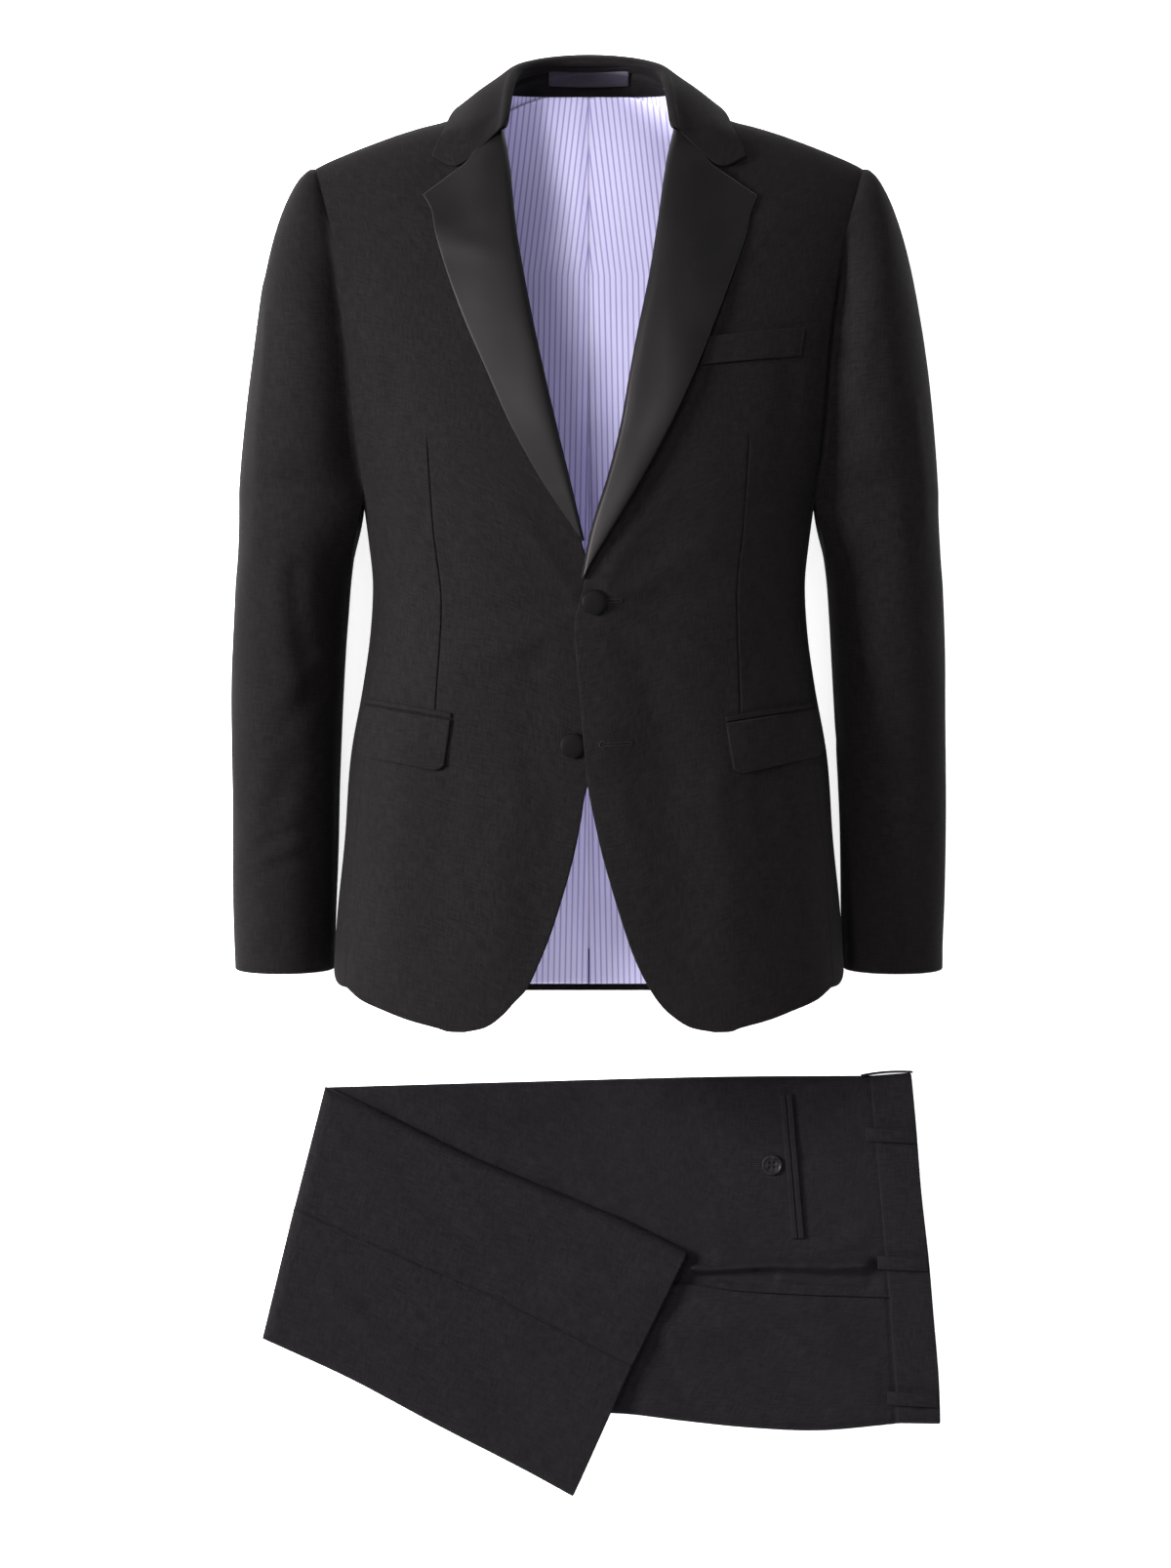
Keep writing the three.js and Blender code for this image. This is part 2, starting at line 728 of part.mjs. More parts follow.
// A lapel curls over the roll line, swells just outside it and comes down towards its edge.
function lapel(side) {
  const rows = LAPEL[side];
  const at = Object.fromEntries(Object.keys(rows[0]).map((key) => [key, alongRows(rows, key)]));
  const point = (u, v) => {
    const width = Math.hypot(at.edgeX(v) - at.rollX(v), at.edgeY(v) - at.rollY(v));
    const curl = clamp(u / 0.16);
    const run = clamp((u - 0.16) / 0.84);
    const x = mix(at.rollX(v), at.edgeX(v), run) - 1.6 * Math.sin(Math.PI * curl) * (run > 0 ? 0 : 1);
    const y = mix(at.rollY(v), at.edgeY(v), run);
    const swell = Math.min(4, width * 0.12) * Math.sin(Math.PI * Math.sqrt(run));
    const lift = mix(-1.4, 3.4, curl) + swell + (at.stand(v) - 3) * smooth(0, 1, run);
    const place = onFront(side, x, y);
    place.z += lift;
    return place;
  };
  return wall(point, 8, 12, -SATIN, 0, -signOf(side));
}

// The collar: a stand up to the roll line and a leaf that falls over it, in one band round the neck.
function collar() {
  const half = COLLAR.map((row) => ({ ...row, hand: 1 }));
  const mirrored = half.slice(1).reverse().map((row) => ({ ...row, hand: -1 }));
  const stations = [...mirrored, ...half].map((row) => {
    const lift = row.onFront ? (x, y) => frontHeight(x, y) : () => 0;
    const place = (x, y, z) => new THREE.Vector3(row.hand * x, y, z);
    const seam = place(row.seamX, row.seamY, row.seamZ);
    const roll = place(row.rollX, row.rollY, row.rollZ);
    const leaf = place(row.leafX, row.leafY, row.leafZ + lift(row.leafX, row.leafY));
    const edge = place(row.edgeX, row.edgeY, row.edgeZ + lift(row.edgeX, row.edgeY));
    const across = new THREE.Vector3(leaf.x - seam.x, leaf.y - seam.y, 0).normalize();
    const beside = (sign) => {
      const place = roll.clone().addScaledVector(across, sign * COLLAR_CREST);
      return place.setZ(roll.z - COLLAR_CREST);
    };
    return [seam, beside(-1), roll, beside(1), leaf, edge];
  });
  const smoothLine = (points) => new THREE.CatmullRomCurve3(points, false, "centripetal");
  const rails = stations[0].map((_, k) => smoothLine(stations.map((station) => station[k])));
  const point = (u, v) => smoothLine(rails.map((rail) => rail.getPoint(v))).getPoint(u);
  return wall(point, 10, 18, -COLLAR_WALL, 0, 1);
}

// A patch between four corners of a front, raised off it.
function frontPatch(side, corners, columns, rows, near, far, corner) {
  const point = (u, v) => {
    const x = mix(mix(corners.innerX, corners.outerX, u), mix(corners.lowInnerX, corners.lowOuterX, u), v);
    const y = mix(mix(corners.innerY, corners.outerY, u), mix(corners.lowInnerY, corners.lowOuterY, u), v);
    const width = corners.outerX - corners.innerX;
    const fromEnd = Math.min(u, 1 - u) * width;
    const cut = corner * FLAP_CORNER_CUT * (1 - clamp(fromEnd / (corner || 1))) ** 2;
    return onFront(side, x, y + cut * v);
  };
  return wall(point, columns, rows, near, far, -signOf(side));
}

function hipFlap(side) {
  return frontPatch(side, HIP_POCKET[side], 12, 4, FLAP_GAP, FLAP_GAP + WOOL, FLAP_CORNER);
}

function hipJet(side) {
  const flap = HIP_POCKET[side];
  const base = { ...flap, lowOuterX: flap.outerX, lowInnerX: flap.innerX };
  const jet = {
    ...base,
    outerY: flap.outerY + JET_HEIGHT,
    innerY: flap.innerY + JET_HEIGHT,
    lowOuterY: flap.outerY + SEAM_GAP,
    lowInnerY: flap.innerY + SEAM_GAP,
  };
  return frontPatch(side, jet, 8, 1, FLAP_GAP, FLAP_GAP + SATIN, 0);
}

function breastWelt() {
  return frontPatch("right", BREAST_WELT, 6, 2, WELT_GAP, WELT_GAP + SATIN, 0);
}

// A covered button: a domed disc on a short shank.
function coveredButton() {
  const r = COVERED_BUTTON_RADIUS;
  const h = COVERED_BUTTON_HEIGHT;
  const profile = [
    [0, 0],
    [r * 0.35, 0],
    [r * 0.35, h * 0.3],
    [r * 0.93, h * 0.34],
    [r, h * 0.55],
    [r * 0.86, h * 0.84],
    [r * 0.5, h * 0.97],
    [0, h],
  ].map(([x, y]) => new THREE.Vector2(x, y));
  return new THREE.LatheGeometry(profile, 20).rotateX(Math.PI / 2);
}

// The pocket's flat button: a rim round a dished face.
function rimmedButton() {
  const r = POCKET_BUTTON_RADIUS;
  const h = POCKET_BUTTON_HEIGHT;
  const profile = [
    [0, 0],
    [r * 0.9, 0],
    [r, h * 0.4],
    [r * 0.95, h * 0.9],
    [r * 0.85, h],
    [r * 0.72, h * 0.8],
    [r * 0.6, h * 0.66],
    [0, h * 0.62],
  ].map(([x, y]) => new THREE.Vector2(x, y));
  return new THREE.LatheGeometry(profile, 20).rotateX(Math.PI / 2);
}

// What shows inside the neck lies on the back panel's inner face.
const insideBack = (near, thickness) => [-(WOOL + near + thickness), -(WOOL + near)];

function lining(side) {
  const rows = BACK_ROWS - FACING_ROWS;
  const point = (u, v) => {
    const row = Math.max(v * (rows - 0.03), LINING_FOOT_ROW);
    return backPlace(side, mix(0.02, LINING_COLUMNS, u), row);
  };
  const [near, far] = insideBack(LAID_GAP, LINING);
  return wall(point, LINING_COLUMNS, rows, near, far, -signOf(side));
}

// A band inside the neck, across both halves of the back.
function neckBand(reach, firstRow, lastRow, near) {
  const point = (u, v) => {
    const across = mix(-reach, reach, u);
    return backPlace(across < 0 ? "left" : "right", Math.abs(across), mix(firstRow, lastRow, v));
  };
  return wall(point, 2 * reach, 1, ...insideBack(near, LINING), -1);
}

function neckFacing() {
  return neckBand(FACING_COLUMNS, BACK_ROWS - FACING_ROWS + 0.03, BACK_ROWS - 0.1, FACING_GAP);
}

function hangerLoop() {
  return neckBand(2, BACK_ROWS - FACING_ROWS + 0.08, BACK_ROWS - 0.15, FACING_GAP + 0.6 + LINING);
}

// How far a place is from the stretch between two points.
function fromLine(x, y, f) {
  const dx = f.x2 - f.x1;
  const dy = f.y2 - f.y1;
  const t = ((x - f.x1) * dx + (y - f.y1) * dy) / (dx * dx + dy * dy);
  const beyond = Math.max(-t, t - 1, 0);
  return { off: Math.hypot(x - f.x1 - t * dx, y - f.y1 - t * dy), fade: Math.exp(-((beyond / 0.14) ** 2)) };
}

// Height of the seat's top, with its folds.
function seatHeight(x, y) {
  let height = SEAT_TOP_Z;
  for (const fold of SEAT_FOLDS) {
    const { off, fade } = fromLine(x, y, fold);
    const spread = Math.exp(-((off / fold.width) ** 2)) * fade;
    height += fold.height * spread;
  }
  return Math.max(height, SEAT_TOP_Z - 0.2);
}

// How far cloth has gone down at a distance from the fold it turns over.
const foldDrop = (distance) => FOLD_DROP * (1 - rounding(1 - clamp(distance / FOLD_RADIUS), 2));

// A panel of the folded trousers between an upper and a lower line, turned down at the named folds.
function trouserPanel(upper, lower, columns, rows, height, folds) {
  const upperX = (u) => mix(upper[0].x, upper[upper.length - 1].x, u);
  const lowerX = (u) => mix(lower[0].x, lower[lower.length - 1].x, u);
  const upperY = curve(upper, "x", "y");
  const lowerY = curve(lower, "x", "y");
  const point = (u, v) => {
    const x = mix(lowerX(u), upperX(u), v);
    const y = mix(lowerY(lowerX(u)), upperY(upperX(u)), v);
    const tall = upperY(upperX(u)) - lowerY(lowerX(u));
    const wide = mix(lowerX(1), upperX(1), v) - mix(lowerX(0), upperX(0), v);
    let drop = 0;
    if (folds.upper) drop = Math.max(drop, foldDrop((1 - v) * tall));
    if (folds.lower) drop = Math.max(drop, foldDrop(v * tall));
    if (folds.left) drop = Math.max(drop, foldDrop(u * wide));
    return new THREE.Vector3(x, y, height(x, y) - drop);
  };
  const graded = (u, v) => point(folds.left ? mix(u ** 2.6, u, 0.08) : u, gradedRows(v, folds));
  return wall(graded, columns, rows, -WOOL, 0, 1);
}

// Rows crowd towards a fold.
function gradedRows(v, folds) {
  if (folds.upper && folds.lower) return 0.5 - 0.5 * Math.cos(Math.PI * v);
  if (folds.upper) return folds.creased ? 0.5 - 0.5 * Math.cos(Math.PI * v) : 1 - (1 - v) ** 1.8;
  if (folds.lower) return v ** 1.8;
  return v;
}

function trouserBackLeft() {
  return trouserPanel(TOP_FOLD, SEAT_LOWER_LINE, 13, 10, seatHeight, { upper: true, creased: true });
}

function trouserBackRight() {
  return trouserPanel(CENTRE_SEAM, SEAT_BOTTOM, 8, 8, seatHeight, { lower: true });
}

function legPanel(upper, lower, folds) {
  return trouserPanel(upper, lower, 9, 7, () => LEG_TOP_Z, folds);
}

function waistband() {
  const seamX = curve(WAIST_SEAM, "y", "x");
  const edgeX = curve(WAIST_EDGE, "y", "x");
  const point = (u, v) => {
    const y = mix(mix(-530.5, -531, u), mix(-242.6, -240, u), v);
    const drop = Math.max(foldDrop((1 - v) * WAISTBAND_LENGTH), foldDrop(v * WAISTBAND_LENGTH));
    const x = mix(seamX(y) + SEAM_GAP, edgeX(y), u);
    return new THREE.Vector3(x, y, SEAT_TOP_Z + WAISTBAND_RAISE - drop);
  };
  const graded = (u, v) => point(u, 0.5 - 0.5 * Math.cos(Math.PI * v));
  return wall(graded, 3, 16, -WOOL - WAISTBAND_RAISE, 0, 1);
}

// A belt loop stands off the waistband between its two stitched ends.
function beltLoop(row) {
  const point = (u, v) => {
    const along = mix(-0.5, 0.5, u) * BELT_LOOP_LENGTH;
    const across = mix(-0.5, 0.5, v) * BELT_LOOP_WIDTH;
    const rise = SEAM_GAP + 0.1 + 2 * Math.sin(Math.PI * u);
    const y = row.y + across + row.lean * (along / 10);
    return new THREE.Vector3(row.x + along, y, SEAT_TOP_Z + WAISTBAND_RAISE + WOOL + rise);
  };
  return wall(point, 6, 1, -WOOL, 0, 1);
}

// The loop that lies over the top fold, seen on its edge.
function beltLoopOnFold() {
  const { x, y, bottom, height } = BELT_LOOP_ON_FOLD;
  const point = (u, v) => {
    const along = mix(-0.5, 0.5, u) * BELT_LOOP_LENGTH;
    const bowed = y + 1.4 * Math.sin(Math.PI * u) + along * 0.07;
    return new THREE.Vector3(x + along, bowed, bottom + height * v);
  };
  return wall(point, 6, 1, 0, WOOL * 0.8, -1);
}

// One of the two welts of the back pocket, each side of its opening.
function pocketWelt(shift) {
  const { topX, topY, bottomX, bottomY, weltWidth } = BACK_POCKET;
  const point = (u, v) => {
    const x = mix(bottomX, topX, v) + shift * (0.2 + u * weltWidth);
    const y = mix(bottomY, topY, v) + shift * u * 0.4;
    return new THREE.Vector3(x, y, seatHeight(x, y));
  };
  return wall(point, 1, 8, LAID_GAP, LAID_GAP + SATIN, shift);
}

// One flat slab of the folded stack, with rounded edges.
function slab(outline, bottom, thickness, inset) {
  const shape = new THREE.Shape(outline.map(([x, y]) => new THREE.Vector2(x, y)));
  const bevel = Math.min(LAYER_BEVEL, thickness / 2 - 0.05);
  const geometry = new THREE.ExtrudeGeometry(shape, {
    depth: thickness - 2 * bevel,
    bevelThickness: bevel,
    bevelSize: bevel,
    bevelOffset: -inset - bevel,
    bevelSegments: 2,
  });
  return geometry.translate(0, 0, bottom + bevel);
}

const wasm = await Module();
wasm.setup();

function toSolid(geometry) {
  const bare = new THREE.BufferGeometry().setAttribute("position", geometry.getAttribute("position"));
  const merged = mergeVertices(bare, 1e-4);
  const vertProperties = merged.getAttribute("position").array;
  const triVerts = new Uint32Array(merged.index.array);
  return new wasm.Manifold(new wasm.Mesh({ numProp: 3, vertProperties, triVerts }));
}

function toGeometry(solid) {
  const mesh = solid.getMesh();
  const geometry = new THREE.BufferGeometry();
  geometry.setAttribute("position", new THREE.BufferAttribute(mesh.vertProperties, 3));
  geometry.setIndex(new THREE.BufferAttribute(mesh.triVerts, 1));
  geometry.computeVertexNormals();
  return geometry;
}

// Hidden layers of the folded cloth as one solid: slabs joined by a smaller core, so that the edges
// show each layer.
function foldedLayers(outline, height, count) {
  const step = height / count;
  let joined = toSolid(slab(outline, LAYER_GROOVE, height - 2 * LAYER_GROOVE, 3));
  for (let k = 0; k < count; k += 1) {
    const inset = k % 2 ? 1.1 : 0;
    joined = joined.add(toSolid(slab(outline, k * step, step - LAYER_GROOVE, inset)));
  }
  return toGeometry(joined);
}

const SEAT_OUTLINE = [
  [-192, -262],
  [-57, -256],
  [100, -252],
  [253, -252],
  [262, -285],
  [273, -395],
  [281, -519],
  [203, -527],
  [121, -524],
  [24, -514],
  [50, -447],
  [77, -398],
  [77, -390],
  [32, -370.5],
  [-57, -331],
];
const LEG_OUTLINE = [
  [-208, -264],
  [-57, -336],
  [73, -392],
  [46, -447],
  [-19, -574],
  [-130, -515],
  [-255, -451],
];

const materials = {
  wool: { color: COLOURS.wool, roughness: 0.95, metalness: 0 },
  satin: { color: COLOURS.satin, roughness: 0.42, metalness: 0 },
  lining: { color: COLOURS.lining, roughness: 0.55, metalness: 0 },
  loop: { color: COLOURS.loop, roughness: 0.45, metalness: 0 },
  button: { color: COLOURS.button, roughness: 0.18, metalness: 0 },
};

function add(group, name, geometry, finish) {
  const mesh = new THREE.Mesh(geometry, new THREE.MeshStandardMaterial(materials[finish]));
  mesh.name = name;
  group.add(mesh);
  return mesh;
}

function makeJacket() {
  const jacket = new THREE.Group();
  for (const side of ["left", "right"]) {
    add(jacket, `front_${side}`, frontPanel(side), "wool");
    add(jacket, `side_${side}`, sidePanel(side), "wool");
    add(jacket, `back_${side}`, backPanel(side), "wool");
    add(jacket, `top_sleeve_${side}`, topSleeve(side), "wool");
    add(jacket, `under_sleeve_${side}`, underSleeve(side), "wool");
    add(jacket, `lapel_${side}`, lapel(side), "satin");
    add(jacket, `pocket_jet_${side}`, hipJet(side), "wool");
    add(jacket, `pocket_flap_${side}`, hipFlap(side), "wool");
    add(jacket, `lining_${side}`, lining(side), "lining");
  }
  add(jacket, "collar", collar(), "wool");
  add(jacket, "breast_welt", breastWelt(), "wool");
  add(jacket, "neck_facing", neckFacing(), "wool");
  add(jacket, "hanger_loop", hangerLoop(), "loop");
  const upper = add(jacket, "button_upper", coveredButton(), "satin");
  upper.position.copy(onFront("right", UPPER_BUTTON.x, UPPER_BUTTON.y)).z += SEAM_GAP;
  const lower = add(jacket, "button_lower", coveredButton(), "satin");
  lower.position.copy(onFront("left", -LOWER_BUTTON.x, LOWER_BUTTON.y)).z += SEAM_GAP;
  return jacket;
}

function makeTrousers() {
  const trousers = new THREE.Group();
  add(trousers, "trouser_back_left", trouserBackLeft(), "wool");
  add(trousers, "trouser_back_right", trouserBackRight(), "wool");
  add(trousers, "waistband", waistband(), "wool");
  BELT_LOOPS.forEach((row, i) => add(trousers, `belt_loop_${i + 1}`, beltLoop(row), "wool"));
  add(trousers, "belt_loop_4", beltLoopOnFold(), "wool");
  add(trousers, "leg_front", legPanel(LEG_UPPER_EDGE, LEG_OUTSEAM, { upper: true, left: true }), "wool");
  const belowSeam = LEG_OUTSEAM.map((row) => ({ x: row.x - 0.2, y: row.y - SEAM_GAP - 0.2 }));
  add(trousers, "leg_back", legPanel(belowSeam, LEG_LOWER_EDGE, { lower: true, left: true }), "wool");
  add(trousers, "pocket_welt_inner", pocketWelt(-1), "wool");
  add(trousers, "pocket_welt_outer", pocketWelt(1), "wool");
  const button = add(trousers, "pocket_button", rimmedButton(), "button");
  const { x, y } = POCKET_BUTTON;
  button.position.set(x, y, seatHeight(x, y) + SEAM_GAP);
  add(trousers, "seat_layers", foldedLayers(SEAT_OUTLINE, SEAT_CORE_Z, SEAT_LAYERS), "wool");
  add(trousers, "leg_layers", foldedLayers(LEG_OUTLINE, LEG_CORE_Z, LEG_LAYERS), "wool");
  return trousers;
}

const suit = new THREE.Group();
suit.add(makeJacket(), makeTrousers());

export default suit;
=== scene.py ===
"""A dinner suit laid out on a pale floor. The jacket lies on its back, filled out and hollow, and the
trousers lie folded below its hem. Sizes are in millimetres until a mesh is made."""

import bpy
import numpy as np
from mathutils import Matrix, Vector


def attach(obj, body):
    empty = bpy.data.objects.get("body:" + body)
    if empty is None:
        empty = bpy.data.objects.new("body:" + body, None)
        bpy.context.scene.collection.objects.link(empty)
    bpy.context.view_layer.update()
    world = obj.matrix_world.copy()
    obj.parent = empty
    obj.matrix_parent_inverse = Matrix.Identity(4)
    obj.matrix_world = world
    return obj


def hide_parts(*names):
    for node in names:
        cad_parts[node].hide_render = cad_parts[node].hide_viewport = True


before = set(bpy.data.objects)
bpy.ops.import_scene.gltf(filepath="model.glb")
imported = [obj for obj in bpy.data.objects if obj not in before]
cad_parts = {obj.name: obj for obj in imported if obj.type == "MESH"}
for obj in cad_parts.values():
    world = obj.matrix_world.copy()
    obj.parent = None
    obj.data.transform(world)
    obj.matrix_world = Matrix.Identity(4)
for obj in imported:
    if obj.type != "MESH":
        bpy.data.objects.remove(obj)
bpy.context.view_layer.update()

MM = 0.001

# Cloth
WOOL = 2.0
SATIN = 1.6
LINING = 1.2
SEAM_GAP = 0.15
LAID_GAP = 1.2
JET_GAP = 0.9
FLAP_GAP = 1.2
EDGE_TURN = 1.5
EDGE_SINK = 0.46
ARMHOLE_TUCK = 1.5
SEAM_TUCK = 0.35
PANEL_LAP = 0.7
ARMHOLE_VALLEY = 13

# Jacket body
HEM_Y = -172
ARMPIT_Y = 236
FRONT_FULLNESS = 2.5
BACK_FULLNESS = 3.4
BACK_FLATTENING = 1.5
SHOULDER_ROUNDING = 2.4
SHOULDER_Z = 103
FRONT_SHOULDER_SINK = 1.2
BACK_SHOULDER_RISE = 0.6
SHOULDER_TIP_X = 222
NECK_POINT_X = 79
NAPE_Y = 583
NAPE_Z = 42
BACK_SEAM_SHARE = 0.8
BACK_LAP = 0.45
SIDE_TONGUE = 38
FRONT_OVERLAP_LIFT = 3.5
UNDONE_BUTTON_LIFT = 5
DART_SHARE = 0.31
DART_TOP_Y = 277
DART_FOOT_Y = 56
DART_DEPTH = 1.5
DART_WIDTH = 0.7
DART_SWELL = 0.35
SLEEVE_FULLNESS = 2.3
INNER_SLEEVE_FULLNESS = 1.95
UNDERARM = 80
CUFF_ARCH = 3.5
SLEEVE_CLEARANCE = 4
FRONT_SLEEVE_SEAM = np.radians(167)
BACK_SLEEVE_SEAM = np.radians(-110)
COLLAR_CREST = 3.2
UNDER_COLLAR = 11
COLLAR_WALL = 1.8
JET_HEIGHT = 4.6
FLAP_CORNER = 9
FLAP_CORNER_CUT = 0.6
CUFF_TURN_UP = 38
HEM_TURN_UP = 34
ARMHOLE_TURN = 9
FACING_WIDTH = 74
STRIPE_PERIOD = 4.7
RIPPLE_TURN = 6.28

# Buttons
COVERED_BUTTON_RADIUS = 10.2
COVERED_BUTTON_HEIGHT = 4.2
POCKET_BUTTON_RADIUS = 8.6
POCKET_BUTTON_HEIGHT = 2.6
BUTTON_REST = 0.3
BUTTON_AXIS = 0.02
HOLE_OFFSET = 1.75
HOLE_RADIUS = 0.95
HOLE_DEPTH = 1.3
STITCH_ASIDE = 0.22
STITCH_RADIUS = 0.3
UPPER_BUTTON = (4.2, 142.4)
LOWER_BUTTON = (-12.8, 29.5)
POCKET_BUTTON = (151.6, -316)

# Trousers
SEAT_CORE_Z = 11.6
SEAT_TOP_Z = 14.2
LEG_CORE_Z = 21.4
LEG_TOP_Z = 24
FOLD_RADIUS = 9
FOLD_DROP = 7
SEAT_LAYERS = 3
LEG_LAYERS = 5
BELT_LOOP_LENGTH = 43
BELT_LOOP_WIDTH = 11
WAISTBAND_LENGTH = 290
WAISTBAND_RISE = 0.8
POCKET_WELT_WIDTH = 5
POCKET_WELT_LENGTH = 120
LAYER_POINT_STEP = 3
LAYER_RINGS = (0.02, 0.12, 0.3, 0.5, 0.7, 0.88, 0.98)

# Thread
FULL_TURN = 6.28318
THREAD_TWIST = 1500
THREAD_SIDES = 8

# Camera and light
CAMERA_PLACE = (-2.765, -0.9, 4500)
CAMERA_LENS = 124.5
FLOOR_GLOW = 0.8
FLOOR_REACH = 6000
WORLD_LIGHT = 0.12
WHITE = (1.0, 1.0, 1.0, 1.0)


def table(names, rows):
    """Rows of named columns, as one array for each name."""
    return dict(zip(names.split(), np.array(rows, float).T))


# Half width of the body, height of its widest line, and height of its front, at each level.
BODY = table("y half mid top", [
    (-205, 209, 92, 200),
    (-120, 205, 95, 206),
    (-40, 197.5, 98, 211),
    (25, 191.5, 100, 214),
    (80, 182.5, 102, 218),
    (120, 177, 103, 220),
    (160, 175.2, 104, 222),
    (192, 178, 104, 224),
    (224, 182, 105, 226),
    (236, 185, 105, 226),
    (290, 203, 105, 226),
    (360, 224, 105, 222),
    (430, 244, 104, 216),
    (500, 262, 103, 208),
    (590, 270, 103, 200),
])
# Outer edge of each front: its side seam, and above the armpit its armhole.
FRONT_SEAM = table("y x", [
    (-205, 198), (-77, 191), (2, 182), (81, 173), (160, 167), (224, 177), (236, 182), (260, 184.5),
    (298, 187.5), (358, 192.5), (417, 201.5), (448, 208.5), (478, 217), (497, 222),
])
BACK_ARMHOLE = table("y x", [
    (236, 184), (300, 186), (360, 190), (430, 203), (470, 214), (497, 222),
])
SHOULDER = table("x y", [
    (0, 560), (79, 556), (110, 538), (138, 530), (160, 523), (199, 508), (222, 497), (262, 470),
])
# Inner edge of each front: cutaway, front edge, roll line, neck.
INNER_EDGE = {
    "left": table("y x", [
        (-198.4, 99), (-195, 83.5), (-186, 70), (-174.4, 59.2), (-164.4, 49.9), (-145, 40.2),
        (-121, 30.6), (-89.4, 20.5), (-61.6, 12.8), (-32.2, 6.6), (-6.7, 2.3), (10, -5), (40, -12),
        (140, -12), (165, -6), (178, 2), (234, 17), (280, 28.4), (321, 38), (359, 46.2),
        (400, 54.3), (442, 61.3), (487, 66.5), (518, 73), (556, 79),
    ]),
    "right": table("y x", [
        (-198.4, 100), (-195, 82.3), (-187, 68.3), (-178, 58.3), (-164.4, 48.6), (-140.8, 36.7),
        (-113.4, 27), (-81.7, 17.3), (-52.3, 9.2), (-26, 3.4), (-1.3, -1.2), (33.4, -4.6),
        (62.7, -7), (92.8, -9.7), (122, -11.6), (133.7, -10.5), (153.7, -4.6), (189.8, 1.8),
        (211.5, 9.3), (240.9, 17.8), (280.4, 27.9), (319.5, 34.8), (357, 41.8), (400.3, 50.7),
        (443.7, 57.7), (485.4, 64), (515.6, 73), (556, 79),
    ]),
}
FRONT_HEM = table("share y", [
    (0, -164), (0.09, -173.6), (0.235, -181.4), (0.42, -189), (0.66, -195), (0.85, -198),
    (1, -198.4),
])
# Waist dart of each front, counted outward from the centre.
DART = {
    "left": table("y x", [
        (50, 121.8), (64.5, 121.2), (144, 116.8), (201, 123.1), (277, 128.1), (300, 128.6),
    ]),
    "right": table("y x", [
        (50, 120), (61.4, 119.8), (152, 117.4), (204, 122.2), (277, 127.1), (300, 127.6),
    ]),
}
# Roll line and outer edge of each lapel, from the break to the gorge, and how far the edge stands off.
LAPEL = {
    "left": table("rollX rollY edgeX edgeY stand", [
        (5, 191, 10, 197, 3),
        (15.1, 234, 37, 237, 3),
        (26.4, 280, 62, 282, 3.8),
        (36, 321, 81, 325, 5),
        (44.2, 359, 98, 364, 6.2),
        (52.3, 400, 112, 402, 7),
        (59.3, 442, 122, 435, 6.4),
        (63.9, 487, 125.5, 455, 5),
        (68.5, 518.7, 132.6, 469.4, 3.6),
    ]),
    "right": table("rollX rollY edgeX edgeY stand", [
        (-5, 161, 1.1, 172.6, 4),
        (3, 200, 24, 210, 7),
        (15.8, 240.9, 45, 246, 9),
        (25.9, 280.4, 66, 286, 9.5),
        (32.8, 319.5, 84.5, 327, 8),
        (39.8, 357, 98, 361, 6),
        (48.7, 400.3, 113, 401, 4),
        (55.7, 443.7, 124.5, 434, 2.6),
        (61.5, 485.4, 128.5, 453, 2.4),
        (66.9, 515.6, 134.4, 468.9, 2.4),
    ]),
}
# Collar sections from the centre back to the gorge. Where onFront is 1 the leaf's heights are lifts
# above the front.
COLLAR = table("seamX seamY seamZ rollX rollY rollZ leafX leafY leafZ edgeX edgeY edgeZ onFront", [
    (0, 584, 42, 0, 590, 66, 0, 595, 44, 0, 575, 16, 0),
    (34, 582, 48, 36, 588, 72, 42, 590, 50, 46, 571, 24, 0),
    (60, 572, 72, 58, 580, 95, 70, 575, 80, 84, 560, 62, 0),
    (74, 560, 104, 65, 563, 126, 88, 557, 114, 107, 546, 101, 0),
    (72, 541, 140, 67.5, 541, 154, 94, 526, 6.5, 118, 519, 7.5, 1),
    (70.5, 527, 158, 69.3, 527, 168, 100, 507, 4.5, 123.5, 508, 4.5, 1),
    (71.5, 522.5, 163, 70.5, 521.8, 172, 105, 492.4, 3.4, 125.3, 500.6, 3.4, 1),
])
# Sleeve sections: silhouettes on both sides, height of the widest line, top and bottom.
SLEEVE = table("y outer inner mid top low", [
    (-152, 290, 208.5, 50, 98, 0),
    (-78, 292, 206, 52, 104, 0),
    (2, 292, 203.7, 58, 114, 0),
    (81, 291.4, 199.5, 66, 126, 0),
    (161, 288.2, 194, 80, 142, 3),
    (209, 285.6, 190, 93, 152, 8),
    (236, 283.6, 186.8, 100, 158, 12),
])
# Above the armpit the sections run from the front armhole round to the back one.
SLEEVE_CAP = table("y outer mid rise fall", [
    (236, 283.6, 100, 20, 60),
    (258, 282, 100, 14, 32),
    (290, 279, 101, 8, 16),
    (330, 274.5, 101, 7, 8),
    (372, 268.8, 102, 6, 6),
    (408, 262.5, 102, 6, 6),
    (440, 254.8, 103, 5, 5),
    (464, 247, 103, 4.5, 4.5),
    (480, 239.8, 103, 4, 4),
    (490, 233.5, 103, 3, 3),
    (496.5, 227, 103, 2, 2),
])
